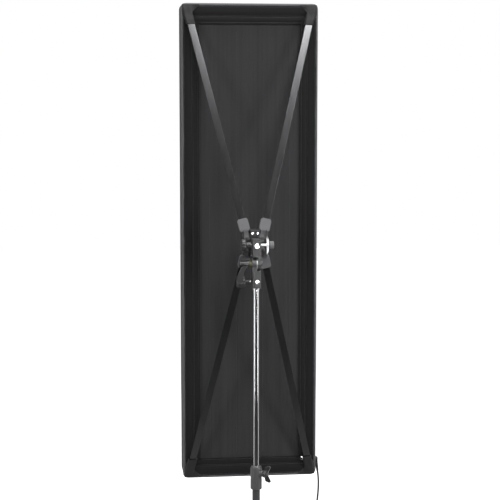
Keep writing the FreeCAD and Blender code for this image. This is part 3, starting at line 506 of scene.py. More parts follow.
def wear(tree, where, reach, rub, dust):
    """A mask of edges rubbed bare, and one of dust on what faces up."""
    surface = add(tree, "NewGeometry")
    rounded = add(tree, "Bevel", {"samples": 4}, Radius=reach)
    facing_same = add(tree, "VectorMath", {"operation": "DOT_PRODUCT"},
                      i0=rounded.outputs[0], i1=surface.outputs["Normal"])
    edge = math_node(tree, "SUBTRACT", 1.0, facing_same.outputs["Value"])
    chips = add(tree, "TexNoise", Vector=where, Scale=130.0, Detail=4.0)
    edge = math_node(tree, "MULTIPLY", edge, math_node(tree, "MULTIPLY", chips.outputs["Fac"], 9.0))
    rubbed = math_node(tree, "MULTIPLY", edge, rub, True)
    up = add(tree, "SeparateXYZ", i0=surface.outputs["Normal"]).outputs[2]
    mist = add(tree, "TexNoise", Vector=where, Scale=35.0, Detail=6.0)
    settled = math_node(tree, "MULTIPLY", math_node(tree, "POWER", up, 2.0, True),
                        mist.outputs["Fac"])
    return rubbed, math_node(tree, "MULTIPLY", settled, dust, True)


EFFECTS = {
    "weave": ("Woven threads", {"Threads": 300.0, "Slub": 0.4}, ("Tone", "Height"), weave),
    "streaks": ("Long streaks", {"Fineness": 400.0, "Length": 0.02}, ("Tone", "Height"), streaks),
    "grain": ("Moulded grain", {"Pebbles": 900.0, "Clouds": 25.0}, ("Tone", "Height"), grain),
    "wear": ("Wear and dust", {"Reach": 0.0012, "Rub": 0.6, "Dust": 0.1}, ("Rubbed", "Dusty"),
             wear),
}
groups = {}


def group_node(tree, name, place):
    """A node of the named effect, fed with a place."""
    if name not in groups:
        groups[name] = effect(*EFFECTS[name])
    node = tree.nodes.new("ShaderNodeGroup")
    node.node_tree = groups[name]
    tree.links.new(place, node.inputs[0])
    return node


def finish(name, dark, light, rough, texture, sizes, bump, spread=0.1, metal=0.0,
           rub=None, rubbed=0.0, dust=0.08, shader=None):
    """A material: tone from its texture, rubbed edges, dust, uneven gloss and bump."""
    made = bpy.data.materials.new(name)
    made.use_nodes = True
    tree = made.node_tree
    tree.nodes.clear()
    place = add(tree, "TexCoord").outputs["Object"]
    pattern = group_node(tree, texture, place)
    for socket, value in zip(pattern.inputs[1:], sizes):
        socket.default_value = value
    worn = group_node(tree, "wear", place)
    worn.inputs["Rub"].default_value = rubbed
    worn.inputs["Dust"].default_value = dust
    tone = pattern.outputs["Tone"]

    def blend(first, second, mask):
        node = add(tree, "Mix", {"data_type": "RGBA"}, Factor=mask)
        for socket, value in ((node.inputs[6], first), (node.inputs[7], second)):
            if isinstance(value, bpy.types.NodeSocket):
                tree.links.new(value, socket)
            else:
                socket.default_value = (*value, 1)
        return node.outputs[2]

    paint = blend(dark, light, tone)
    if rub:
        paint = blend(paint, rub, worn.outputs["Rubbed"])
    paint = blend(paint, (0.32, 0.31, 0.29), worn.outputs["Dusty"])
    gloss = add(tree, "MapRange", i0=tone, i3=rough - spread, i4=rough + spread).outputs[0]
    relief = add(tree, "Bump", Height=pattern.outputs["Height"], Distance=bump, Strength=0.6)
    surface = add(tree, "BsdfPrincipled", Base_Color=paint, Roughness=gloss, Metallic=metal,
                  Normal=relief.outputs[0])
    for key, value in (shader or {}).items():
        surface.inputs[key].default_value = value
    output = add(tree, "OutputMaterial")
    tree.links.new(surface.outputs[0], output.inputs[0])
    return made


def tones(base, low, high):
    """A colour's dark and light shade."""
    return [tuple(channel * share for channel in base) for share in (low, high)]


def finishes():
    cloth, bracket, stand = settings("cloth"), settings("bracket"), settings("stand")
    cloth_look = {"Specular IOR Level": 0.2, "Sheen Weight": 0.03, "Sheen Roughness": 0.5}
    tape = {**cloth_look, "Specular IOR Level": 0.4}
    plastic, coat = bracket.plastic, stand.coat
    worn_plastic, worn_sleeve, worn_collar = (
        tones(base, 1, share)[1] for base, share in
        ((plastic, 3.5), (bracket.sleeves, 1.8), (stand.collar, 2.2)))
    return {
        "black_cloth": (*tones(cloth.walls, 0.75, 1.35), 0.8, "weave", (330.0, 0.5), 0.00012,
                        {"spread": 0.08, "dust": 0.03, "shader": cloth_look}),
        # binding_tape takes its light tone, a painted rim highlight, from the binding colour.
        "binding_tape": (*tones(cloth.binding_with_rim_highlight, 0.8, 1.3), 0.62, "weave", (420.0, 0.35), 0.00012,
                         {"spread": 0.08, "dust": 0.04, "shader": tape}),
        "pocket_web": (*tones(cloth.walls, 1.0, 2.0), 0.68, "weave", (360.0, 0.4), 0.00014,
                       {"spread": 0.08, "dust": 0.03, "shader": tape}),
        "mat_cloth": (*tones(cloth.mat, 0.72, 1.32), 0.78, "streaks", (420.0, 0.01), 0.0001,
                      {"spread": 0.06, "dust": 0.0, "shader": cloth_look}),
        "white_cloth": (*tones(cloth.front, 0.96, 1.02), 0.75, "weave", (520.0, 0.3), 0.00006,
                        {"spread": 0.05, "dust": 0.0, "shader": {"Sheen Weight": 0.1}}),
        "thread": ((0.014, 0.014, 0.015), (0.03, 0.03, 0.032), 0.6, "weave", (900.0, 0.3),
                   0.00005, {"dust": 0.0, "shader": {"Sheen Weight": 0.2}}),
        "led_board": ((0.72, 0.7, 0.62), (0.9, 0.88, 0.8), 0.4, "grain", (100.0, 60.0),
                      0.00005, {"dust": 0.0}),
        "hook_tape": ((0.012, 0.012, 0.013), (0.05, 0.05, 0.052), 0.9, "grain",
                      (1500.0, 90.0), 0.0003,
                      {"spread": 0.05, "dust": 0.02, "shader": {"Sheen Weight": 0.3}}),
        "spring_steel": (*tones(bracket.arms, 0.8, 1.15), 0.24, "streaks", (700.0, 0.03),
                         0.000006, {"spread": 0.03, "metal": 1.0, "rub": (0.2, 0.2, 0.2),
                                    "rubbed": 0.4, "dust": 0.01}),
        "grey_plastic": (*tones(bracket.sleeves, 0.85, 1.15), 0.5, "grain", (1100.0, 40.0),
                         0.00008, {"spread": 0.08, "rub": worn_sleeve, "rubbed": 0.6}),
        "collar_plastic": (*tones(stand.collar, 0.8, 1.2), 0.42, "grain", (900.0, 40.0),
                           0.00008, {"spread": 0.08, "rub": worn_collar, "rubbed": 0.7}),
        "black_plastic": (*tones(plastic, 0.7, 1.3), 0.32, "grain", (1100.0, 40.0), 0.00008,
                          {"rub": worn_plastic, "rubbed": 0.5}),
        "gloss_plastic": (*tones(plastic, 0.7, 1.2), 0.22, "grain", (600.0, 40.0), 0.00002,
                          {"spread": 0.05, "rub": worn_plastic, "rubbed": 0.4}),
        "ground_steel": ((0.78, 0.79, 0.8), (0.9, 0.91, 0.92), 0.36, "streaks",
                         (900.0, 0.05), 0.00001, {"spread": 0.05, "metal": 1.0, "dust": 0.02}),
        "chrome": ((0.72, 0.72, 0.735), (0.8, 0.8, 0.81), 0.1, "streaks", (500.0, 0.05),
                   0.000004, {"spread": 0.05, "metal": 1.0, "dust": 0.02}),
        "zinc_steel": ((0.45, 0.45, 0.44), (0.62, 0.62, 0.61), 0.35, "grain",
                       (700.0, 120.0), 0.00003, {"metal": 1.0, "rub": (0.75, 0.75, 0.75),
                                                 "rubbed": 0.5, "dust": 0.03}),
        "black_metal": (*tones(coat, 0.8, 1.2), 0.36, "grain", (1300.0, 30.0), 0.00004,
                        {"spread": 0.08, "rub": (0.3, 0.3, 0.3), "rubbed": 0.55,
                         "shader": {"Coat Weight": 0.15, "Coat Roughness": 0.3}}),
        "tube_coat": (*tones(coat, 0.8, 1.2), 0.5, "grain", (1300.0, 30.0), 0.00003,
                      {"spread": 0.08, "rub": (0.25, 0.25, 0.25), "rubbed": 0.5,
                       "shader": {"Specular IOR Level": 0.3}}),
        "olive_nylon": ((0.07, 0.068, 0.035), (0.13, 0.125, 0.07), 0.45, "grain",
                        (900.0, 60.0), 0.00005,
                        {"spread": 0.08, "rub": (0.2, 0.2, 0.12), "rubbed": 0.4}),
        "black_rubber": ((0.012, 0.012, 0.012), (0.03, 0.03, 0.03), 0.7, "grain",
                         (700.0, 45.0), 0.0001, {"spread": 0.12, "rub": (0.07, 0.068, 0.065),
                                                 "rubbed": 0.6, "dust": 0.15}),
        "cord_jacket": ((0.014, 0.014, 0.015), (0.028, 0.028, 0.029), 0.45, "grain",
                        (1400.0, 50.0), 0.00003, {"spread": 0.08, "dust": 0.06}),
    }


def material(name):
    """The named finish, made when it is first asked for."""
    made = bpy.data.materials.get(name)
    if made is None or not made.get("softbox"):
        *values, named = finishes()[name]
        made = finish(name, *values, **named)
        made["softbox"] = True
    return made


# ------------------------------------------------------------------ cloth shapes
def rear_wave(x, z):
    """How far the rear border stands off its plane: slack between its seams."""
    slow = noise.noise(Vector((x * 9, 0.3, (z - MIDDLE) * 5)))
    fast = noise.noise(Vector((x * 42, 4.1, (z - MIDDLE) * 30)))
    return -0.0006 * slow - 0.00035 * fast


def rounded(half_wide, half_tall, radius, corner=7, across=36, upright=120):
    """Points round a rectangle about the softbox's middle, as (x, z) from the top right."""
    radius = max(radius, 0.0004)
    spots = []
    centres = [(1, 1, 0), (-1, 1, 90), (-1, -1, 180), (1, -1, 270)]
    for i, (sx, sz, start) in enumerate(centres):
        cx, cz = sx * (half_wide - radius), sz * (half_tall - radius)
        for k in range(corner):
            angle = math.radians(start + 90 * k / (corner - 1))
            spots.append((cx + radius * math.cos(angle), cz + radius * math.sin(angle)))
        nx, nz, _ = centres[(i + 1) % 4]
        first = spots[-1]
        turn = math.radians(start + 90)
        goal = (nx * (half_wide - radius) + radius * math.cos(turn),
                nz * (half_tall - radius) + radius * math.sin(turn))
        steps = across if i % 2 == 0 else upright
        for k in range(1, steps):
            share = k / steps
            spots.append((first[0] + (goal[0] - first[0]) * share,
                          first[1] + (goal[1] - first[1]) * share))
    return spots


def band_section(share, depth, radius, wave=1.0, bow=0.0):
    """One outline of the tub: share runs from the rim, 0, to the window, 1."""
    half_wide = HALF_WIDE - SIDE_BORDER * share
    half_tall = HALF_TALL - END_BORDER * share
    section = []
    for x, z in rounded(half_wide, half_tall, radius):
        pull = bow * math.cos(math.pi * z / (2 * HALF_TALL)) * abs(x) / half_wide
        ripple = 0.0004 * noise.noise(Vector((x * 30, depth * 40, z * 12))) * (bow > 0)
        x -= math.copysign(pull + ripple, x)
        lift = wave * rear_wave(x, z + MIDDLE) if wave else 0.0
        section.append(Vector((x, REAR + depth + lift, MIDDLE + z)))
    return section


def bead(name, points, radius, count, squash):
    """A round bead along a closed run of points that lies across Y."""
    angles = [math.tau * k / count for k in range(count)]
    sections = []
    for i, spot in enumerate(points):
        ahead = (points[(i + 1) % len(points)] - points[i - 1]).normalized()
        out = ahead.cross(Vector((0, 1, 0))).normalized()
        sections.append([spot + out * (radius * math.cos(angle))
                         + Vector((0, radius * squash * math.sin(angle), 0))
                         for angle in angles])
    return loft(name, sections, ring=True)


# ------------------------------------------------------------------ operators
class Maker:
    """What every operator of this add-on shares."""
    bl_options = {"REGISTER", "UNDO"}

    def execute(self, context):
        self.make()
        return {"FINISHED"}


class SOFTBOX_OT_camera(Maker, bpy.types.Operator):
    """Set the camera behind the softbox, a little to its left and above it"""
    bl_idname = "softbox.camera"
    bl_label = "Camera"

    def make(self):
        studio = settings("studio")
        target = Vector((0, REAR, MIDDLE))
        a, e = studio.azimuth, studio.elevation
        away = Vector((math.sin(a) * math.cos(e), -math.cos(a) * math.cos(e), math.sin(e)))
        bpy.ops.object.select_all(action="DESELECT")
        bpy.ops.object.camera_add(location=target + away * studio.distance)
        camera = bpy.context.object
        camera.rotation_euler = (-away).to_track_quat("-Z", "Y").to_euler()
        camera.data.lens = studio.lens
        camera.data.sensor_width = 36
        camera.data.shift_x, camera.data.shift_y = 0.0005, -0.0112
        bpy.context.scene.camera = camera


class SOFTBOX_OT_cord(Maker, bpy.types.Operator):
    """Hang the power pigtail from its gland, with its strain relief and connector"""
    bl_idname = "softbox.cord"
    bl_label = "Power cord"

    def make(self):
        cord_settings = settings("cord")
        radius = cord_settings.diameter / 2
        low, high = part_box("cable_gland")
        x, y, z = HALF_WIDE, (low.y + high.y) / 2, low.z
        route = [(x + 0.005, y, z), (x + 0.01, y + 0.0005, z - 0.025),
                 (x + 0.013, y + 0.002, z - 0.06), (x + 0.011, y + 0.004, z - 0.1),
                 (x + 0.0055, y + 0.005, z - 0.144), (x + 0.002, y + 0.0035, z - 0.188),
                 (x + 0.003, y + 0.001, z - 0.23), (x + 0.0065, y, z - 0.266)]
        curve = bpy.data.curves.new("pigtail", "CURVE")
        curve.dimensions = "3D"
        curve.resolution_u = 24
        spline = curve.splines.new("NURBS")
        spline.points.add(len(route) - 1)
        for spot, place in zip(spline.points, route):
            spot.co = (*place, 1)
        spline.order_u = 3
        spline.use_endpoint_u = True
        cord = bpy.data.objects.new("pigtail", curve)
        bpy.context.scene.collection.objects.link(cord)
        bpy.context.view_layer.update()
        line = bpy.data.meshes.new_from_object(cord)
        spots = [vert.co.copy() for vert in line.vertices]
        bpy.data.meshes.remove(line)
        curve.bevel_depth = radius
        curve.bevel_resolution = 5
        curve.use_fill_caps = True
        curve.materials.append(material("cord_jacket"))
        relief = self.relief(spots, radius)
        connector = self.connector(Vector(route[-1]), Vector(route[-1]) - Vector(route[-2]))
        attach(cord, "softbox")
        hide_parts("power_cord")
        self.gland()

    def relief(self, spots, radius):
        """Ribs that taper down the first stretch of the cord."""
        reach, steps, ridge = 0.026, 28, 0.0007
        run, rows, sections = 0.0, [], []
        for first, second in zip(spots, spots[1:]):
            rows.append((run, first, second - first))
            run += (second - first).length
            if run > reach:
                break
        for i in range(steps + 1):
            share = i / steps
            start, spot, ahead = max((row for row in rows if row[0] <= share * reach),
                                     key=lambda row: row[0])
            place = facing(spot + ahead.normalized() * (share * reach - start), ahead)
            wide = radius + 0.0022 * (1 - share) + (ridge if i % 4 in (1, 2) else 0.0)
            sections.append(circle(place, wide, 0, 20))
        piece = loft("cord_relief", sections)
        return dress(piece, "black_rubber", "softbox", angle=50)

    def connector(self, start, heading):
        """A moulded barrel with grip rings and a bright sleeve at its tip."""
        place = facing(start, heading)
        profile = [(0.0031, -0.004), (0.0036, 0.0), (0.0046, 0.002), (0.0052, 0.005)]
        for k in range(5):
            at = 0.0065 + 0.0026 * k
            profile += [(0.0052, at), (0.0046, at + 0.0004), (0.0046, at + 0.0012),
                        (0.0052, at + 0.0016)]
        profile += [(0.0054, 0.021), (0.0054, 0.0238), (0.0049, 0.0246)]
        barrel = turned("barrel", place, profile, 36)
        stand_in(barrel, "black_plastic", "cord_connector")
        barrel.name = "connector_barrel"
        tip = turned("connector_sleeve", place,
                     [(0.0042, 0.024), (0.0042, 0.0333), (0.0039, 0.0338), (0.0031, 0.0338),
                      (0.0029, 0.0332), (0.0029, 0.027), (0.0029, 0.0242)], 32)
        dress(tip, "chrome", "softbox")
        tip.parent = barrel     # so that the sleeve counts with the cord's end
        tip.matrix_parent_inverse = Matrix.Identity(4)
        return barrel

    def gland(self):
        low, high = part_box("cable_gland")
        block = slab("gland_block", low, high, 0.0022, 4)
        mouth = (low.x + 0.005, (low.y + high.y) / 2, low.z - 0.0002)
        lip = turned("lip", facing(mouth, (0, 0, -1)),
                     [(0.0042, -0.002), (0.0042, 0.0), (0.0036, 0.0008)], 24)
        stand_in(joined("gland_block", [block, lip]), "black_plastic", "cable_gland")


class SOFTBOX_OT_walls(Maker, bpy.types.Operator):
    """Sew the walls and rear border, with binding, seams and stitches"""
    bl_idname = "softbox.walls"
    bl_label = "Walls and border"

    def make(self):
        cloth = settings("cloth")
        deep, thick, bow = FRONT - REAR, cloth.hem, cloth.bow
        outside = [(1.0, 0.0014, 0.0006), (0.99, 0.0002, 0.0007), (0.95, 0.0, 0.0012),
                   (0.9, 0.0002, 0.0018), (0.885, 0.0006, 0.002), (0.87, 0.0001, 0.0022),
                   (0.65, -0.0004, 0.004), (0.63, 0.0004, 0.0045), (0.62, 0.001, 0.0046),
                   (0.61, 0.0002, 0.0047), (0.4, -0.001, 0.007), (0.2, -0.0004, 0.0095),
                   (0.09, 0.0004, 0.011), (0.03, 0.0016, 0.0115), (0.0, 0.0045, 0.012)]
        sections = [band_section(s, d, r) for s, d, r in outside]
        steps, fold = 12, 0.0045
        levels = [(fold + (deep - 0.0065) * step / steps,
                   bow * math.sin(math.pi * step / steps)) for step in range(1, steps)]
        sections += [band_section(0.0, depth, 0.012, 0, pull) for depth, pull in levels]
        inset = thick / SIDE_BORDER
        sections += [band_section(share, deep - back, radius, 0) for share, back, radius in
                     ((0.0, 0.0006, 0.012), (inset * 0.5, 0.0, 0.0112), (inset, 0.0006, 0.0102))]
        sections += [band_section(inset, depth, 0.0102, 0, pull + 0.0001)
                     for depth, pull in reversed(levels)]
        sections.append(band_section(inset, fold, 0.0102))
        sections += [band_section(s, 0.0026, r) for s, r in
                     ((0.09, 0.0095), (0.2, 0.0085), (0.4, 0.006), (0.62, 0.0042),
                      (0.87, 0.002), (0.99, 0.0007))]
        walls = loft("cloth_walls", sections, ring=True)
        stand_in(walls, "black_cloth", "softbox_shell", CLOTH_ANGLE)
        self.binding(cloth.binding)
        self.seams()

    def binding(self, radius):
        """A piped edge at the back and a flat tape edge at the front."""
        for name, y, inset, corner, size in (
                ("rear_binding", REAR + 0.0036, 0.004, 0.0105, (radius, 12, 0.95)),
                ("front_binding", FRONT - 0.0045, 0.0006, 0.0117, (0.0011, 8, 3.6))):
            spots = [Vector((x, y, MIDDLE + z)) for x, z in
                     rounded(HALF_WIDE - inset, HALF_TALL - inset, corner)]
            if name == "rear_binding":
                for spot in spots:
                    spot.y += 0.0004 * noise.noise(Vector((spot.x * 25, 0, spot.z * 25)))
            dress(bead(name, spots, *size), "binding_tape", "softbox",
                  angle=CLOTH_ANGLE)

    def seams(self):
        """One row at the hem, one each side of the border seam, one inside the binding."""
        cut, y = 0.008, REAR - 0.0004
        runs = []
        for share in (0.915, 0.655, 0.585, 0.17):
            wide = HALF_WIDE - SIDE_BORDER * share
            tall = HALF_TALL - END_BORDER * share
            for side in (-1, 1):
                x, z = side * wide, MIDDLE + side * tall
                runs.append(((x, y, MIDDLE - tall + cut), (x, y, MIDDLE + tall - cut)))
                runs.append(((-wide + cut, y, z), (wide - cut, y, z)))
        dress(stitches("border_stitches", runs), "thread", "softbox")


class SOFTBOX_OT_mat(Maker, bpy.types.Operator):
    """Lay the ribbed back of the light mat, its strips and its board"""
    bl_idname = "softbox.mat"
    bl_label = "Light mat"

    def make(self):
        low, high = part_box("mat_rear_cover")
        pitch = settings("cloth").rib
        middle = (low + high) / 2
        wide, tall = high.x - low.x, high.z - low.z

        def ribbed(across, along):
            x, z = across * wide, along * tall
            rib = math.sin(math.tau * x / pitch + 0.8 * noise.noise(Vector((x * 8, z * 3, 0))))
            uneven = 0.6 + 0.6 * noise.noise(Vector((x * 20, z * 2.2, 3)))
            sag = noise.noise(Vector((x * 5, z * 3.4, 7)))
            edge = min(1.0, (wide / 2 - abs(x)) / 0.015, (tall / 2 - abs(z)) / 0.015)
            y = low.y + 0.0003 - edge * (0.00026 * rib * uneven + 0.0007 * sag)
            return middle.x + x, y, middle.z + z

        mat = grid_cloth("mat_back", 8 * int(wide / pitch), 90, ribbed, 0.0011)
        stand_in(mat, "mat_cloth", "mat_rear_cover", CLOTH_ANGLE)
        self.channels(low, high)
        self.strips()
        board = NODES["led_board"]
        board.data.materials.clear()
        board.data.materials.append(material("led_board"))

    def channels(self, low, high):
        """Sewn lines down the mat that hold its circuit in place."""
        runs = []
        for share in (-0.36, -0.12, 0.12, 0.36):
            x = share * (high.x - low.x)
            runs.append(((x, low.y + 0.0002, low.z + 0.03), (x, low.y + 0.0002, high.z - 0.03)))
        dress(stitches("mat_stitches", runs, 0.0006), "thread", "softbox")

    def strips(self):
        low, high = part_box("hook_and_loop_strips")
        half, cut = 0.00675, 0.016
        pieces = []
        for side in (-1, 1):
            x, z = side * (high.x - half), MIDDLE + side * (high.z - MIDDLE - half)
            pieces.append(slab("strip", (x - half, low.y, low.z + cut),
                               (x + half, high.y, high.z - cut), 0.0004, 2))
            pieces.append(slab("strip", (low.x + cut, low.y, z - half),
                               (high.x - cut, high.y, z + half), 0.0004, 2))
        stand_in(joined("fastening_strips", pieces), "hook_tape", "hook_and_loop_strips")


class SOFTBOX_OT_diffuser(Maker, bpy.types.Operator):
    """Stretch the white front cloth and its black hem"""
    bl_idname = "softbox.diffuser"
    bl_label = "Diffuser"

    def make(self):
        low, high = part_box("front_diffuser")
        wide, tall, middle = high.x - low.x, high.z - low.z, (low + high) / 2

        def crowned(x, z):
            crown = max(0.0, (1 - (2 * x) ** 2) * (1 - (2 * z) ** 2)) ** 0.5
            tug = noise.noise(Vector((x * 5, z * 22, 1))) * (1 - crown)
            near = min(1.0, (0.5 - abs(x)) / 0.06, (0.5 - abs(z)) / 0.015)
            y = middle.y + 0.0024 * crown + 0.0007 * tug * near
            return middle.x + x * (wide - 0.0015), y, middle.z + z * (tall - 0.0015)

        front = grid_cloth("diffuser_cloth", 48, 150, crowned, 0.0006)
        stand_in(front, "white_cloth", "front_diffuser", CLOTH_ANGLE)
        self.hem()

    def hem(self):
        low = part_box("diffuser_hem")[0]
        deep = low.y - REAR
        inner = 0.0145 / SIDE_BORDER
        rows = [(0.04, 0.0006), (0.055, 0.0019), (inner * 0.5, 0.0026), (inner - 0.02, 0.0021),
                (inner, 0.0008), (inner - 0.01, 0.0001), (inner * 0.5, 0.0), (0.05, 0.0001)]
        sections = []
        for share, out in rows:
            section = band_section(share, deep + out, 0.01, 0)
            for spot in section:
                spot.y += 0.0003 * noise.noise(spot * 60)
            sections.append(section)
        hem = loft("diffuser_edge", sections, ring=True)
        stand_in(hem, "black_cloth", "diffuser_hem", CLOTH_ANGLE)


class SOFTBOX_OT_pockets(Maker, bpy.types.Operator):
    """Sew the four corner pockets that take the arms' tips"""
    bl_idname = "softbox.pockets"
    bl_label = "Corner pockets"

    def make(self):
        for level_name, level in LEVELS.items():
            for side_name, side in SIDES.items():
                self.pocket(level_name + "_" + side_name, side, level)
        self.eyelet()

    def pocket(self, place, side, level):
        """Slices from the end of the softbox down to the pocket's open mouth."""
        tip_x, tip_z, slope_x, slope_y = 0.018, 0.022, 0.243, 0.19
        rows = [0.0035, 0.006, 0.011, 0.017, 0.023, 0.028, 0.033, 0.039, 0.045, 0.051, 0.0545,
                0.0556]
        sections, columns = [], 34
        for down in rows:
            arm_x = tip_x + slope_x * (down - tip_z)
            reach = max(0.0, down - tip_z)
            crest = 0.0084 + slope_y * reach + 0.001 * math.sin(down * 160)
            if down < tip_z:
                crest = 0.0022 + 0.0062 * (down / tip_z) ** 0.8
            flap = 0.05 - 0.0235 * min(1.0, (down - 0.0035) / 0.024)
            right = max(flap, arm_x + 0.0122)
            left = 0.0035
            if down > 0.03:
                left += (arm_x - 0.0122 - left) * min(1.0, (down - 0.03) / 0.015)
            outer, under = [], []
            for k in range(columns):
                share = k / (columns - 1)
                x = left + (right - left) * share
                hump = 1 / (1 + (abs(x - arm_x) / 0.0122) ** 14)
                edge = min(1.0, share / 0.05, (1 - share) / 0.05)
                edge = math.sqrt(max(0.0, 1 - (1 - edge) ** 2))
                fold = noise.noise(Vector((x * 95, down * 70 * level, 9 * side)))
                height = edge * (0.0016 + (crest - 0.0016) * hump + 0.0009 * fold)
                outer.append((x, max(0.0003, height)))
                under.append((x, -0.0004))
            ring = outer + under[::-1]
            sections.append([self.spot(side, level, x, down, out) for x, out in ring])
        mouth = rows[-1]
        for pull, back in ((0.93, 0.0004), (0.84, 0.0022), (0.8, 0.012)):
            arm_x = tip_x + slope_x * (mouth - tip_z)
            crest = 0.0078 + slope_y * (mouth - tip_z)
            inner = []
            for spot in sections[len(rows) - 1]:
                x = (HALF_WIDE - abs(spot.x) - arm_x) * pull + arm_x
                out = (REAR - spot.y - crest * 0.5) * pull + crest * 0.5
                inner.append(self.spot(side, level, x, mouth - back, out))
            sections.append(inner)
        piece = loft("pocket_cloth_" + place, sections)
        roll = self.roll("pocket_hem", sections[len(rows) - 2], 0.0009)
        piece = joined("pocket_cloth_" + place, [piece, roll])
        stand_in(piece, "pocket_web", "pocket_" + place, CLOTH_ANGLE)

    def spot(self, side, level, x, down, out):
        return Vector((side * (HALF_WIDE - x), REAR - out, MIDDLE + level * (HALF_TALL - down)))

    def roll(self, name, spots, radius):
        """A rolled edge along the pocket's mouth."""
        sections = []
        for i, spot in enumerate(spots):
            ahead = (spots[(i + 1) % len(spots)] - spots[i - 1]).normalized()
            sections.append(circle(facing(spot, ahead), radius, 0, 6))
        return loft(name, sections, ring=True)

    def eyelet(self):
        """One bright eyelet beside the lower right pocket."""
        spot = self.spot(1, -1, 0.038, 0.0465, 0.0002)
        ring = turned("pocket_eyelet", facing(spot, (0, -1, 0)),
                      [(0.0046, -0.0006), (0.0048, 0.0004), (0.004, 0.0014), (0.003, 0.0016),
                       (0.0022, 0.001), (0.002, -0.0006)], 32, ring=True)
        dress(ring, "chrome", "softbox")


class SOFTBOX_OT_arms(Maker, bpy.types.Operator):
    """Fit the four spring arms and their moulded sleeves"""
    bl_idname = "softbox.arms"
    bl_label = "Arms and sleeves"

    def make(self):
        for level_name, level in LEVELS.items():
            for side_name, side in SIDES.items():
                place = level_name + "_" + side_name
                self.bowed(place, level)
                self.sleeve(place, side, level)

    def bowed(self, place, level):
        """A strip cut across its length, sprung a little away from the softbox."""
        low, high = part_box("arm_" + place)
        long, cuts = high.z - low.z, 24
        arm = refined("arm_" + place, "arm_" + place + "_sprung", 0.0005)
        begin_edit(arm)
        for step in range(1, cuts):
            bpy.ops.mesh.select_all(action="SELECT")
            bpy.ops.mesh.bisect(plane_co=(0, 0, low.z + long * step / cuts),
                                plane_no=(0, 0, 1))
        end_edit(arm)
        for vert in arm.data.vertices:
            share = (vert.co.z - low.z) / long
            if level > 0:
                share = 1 - share
            vert.co.y -= 0.004 * math.sin(math.pi * min(1.0, max(0.0, share))) * (1 - share)
        stand_in(arm, "spring_steel", "arm_" + place)

    def sleeve(self, place, side, level):
        """The sleeve with raised grip bars across its rear face."""
        low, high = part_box("arm_" + place)
        grip_low, grip_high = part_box("sleeve_" + place)
        run = Vector((side * (high.x - low.x - 0.017), high.y - low.y, level * (high.z - low.z)))
        run.normalize()
        across = run.cross(Vector((0, 1, 0))).normalized()
        out = across.cross(run).normalized()
        if out.y > 0:
            out = -out
        tip = Vector((grip_high.x if side > 0 else grip_low.x, 0,
                      grip_high.z if level > 0 else grip_low.z))
        middle = Vector((tip.x - side * 0.0165, (grip_low.y + grip_high.y) / 2 + 0.0035,
                         tip.z - level * 0.0175))
        turn = Matrix((across, out, run)).transposed().to_4x4()
        model = slab("bar", (-0.0085, -0.0007, -0.0008), (0.0085, 0.0007, 0.0008), 0.0005, 2)
        bars = []
        for step in (-0.0075, -0.0025, 0.0025, 0.0075):
            turn.translation = middle + run * step + out * 0.0062
            bars.append(copied(model, "bar", turn))
        bpy.data.objects.remove(model)
        bars = joined("bars", bars)
        outward(bars)
        recast("sleeve_" + place, edge=0.0011, segments=3, extra=[bars])


class SOFTBOX_OT_hub(Maker, bpy.types.Operator):
    """Build the hub: cover, plate, rivets, screws, spigot and nut"""
    bl_idname = "softbox.hub"
    bl_label = "Hub"

    def make(self):
        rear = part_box("hub_cover")[0].y
        ribs = [slab("rib", (x - 0.0008, rear - 0.0009, SPIGOT_Z - 0.021),
                     (x + 0.0008, rear + 0.001, SPIGOT_Z + 0.021), 0.0006, 2)
                for x in (-0.0105, 0.0105)]
        recast("hub_cover", edge=0.0012, segments=3, extra=ribs)
        recast("hub_plate", edge=0.0012, segments=3)
        recast("hub_spacer", edge=0.0006)
        self.rivets()
        self.screws(rear)
        self.spigot()
        nut = refined("spigot_nut", "spigot_nut_finished", 0.0007, 3)
        stand_in(nut, "zinc_steel", "spigot_nut")

    def rivets(self):
        low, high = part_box("hub_rivets")
        long, radius = high.y - low.y, 0.006
        x, z = high.x - radius, high.z - SPIGOT_Z - radius
        rows = [(0.0002, 0.0), (0.0025, 0.0), (0.0048, 0.0005), (0.0058, 0.0011),
                (radius, 0.0015), (0.0042, 0.0016), (0.004, long - 0.0016),
                (0.0042, long - 0.0016), (radius, long - 0.0015), (0.0058, long - 0.0006),
                (0.0035, long)]
        rivet = turned("rivet", facing((-x, low.y, SPIGOT_Z - z), (0, 1, 0)), rows, 32)
        stand_in(joined("pivot_rivets", at_corners(rivet, x, z)), "black_metal", "hub_rivets")

    def screws(self, rear):
        """Domed screws with a hexagonal recess."""
        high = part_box("hub_screws")[1]
        radius = 0.0032
        x, z = high.x - radius, high.z - radius - SPIGOT_Z
        screw = screw_head("screw", facing((-x, rear, SPIGOT_Z - z), (0, -1, 0)),
                           [(radius, 0.0), (radius, 0.0009), (0.0029, 0.0016), (0.0023, 0.0021)],
                           [(0.0015, 0.0022), (0.0014, 0.002), (0.0014, 0.0006)], 36)
        stand_in(joined("cover_screws", at_corners(screw, x, z)), "chrome", "hub_screws")

    def spigot(self):
        """The bright pin: chamfered end with a turning centre, flange and stud."""
        low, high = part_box("spigot")
        place = facing((0, low.y, SPIGOT_Z), (0, 1, 0))
        long = high.y - low.y
        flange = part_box("hub_cover")[0].y - low.y
        profile = [(0.0009, 0.0022), (0.0016, 0.0002), (0.0066, 0.0), (0.0074, 0.0004),
                   (0.008, 0.0012), (0.008, flange - 0.0035), (0.0134, flange - 0.0035),
                   (0.014, flange - 0.0029), (0.014, flange), (0.005, flange),
                   (0.005, long - 0.0008), (0.0042, long)]
        pin = turned("spigot_pin", place, profile, 56)
        stand_in(pin, "chrome", "spigot")


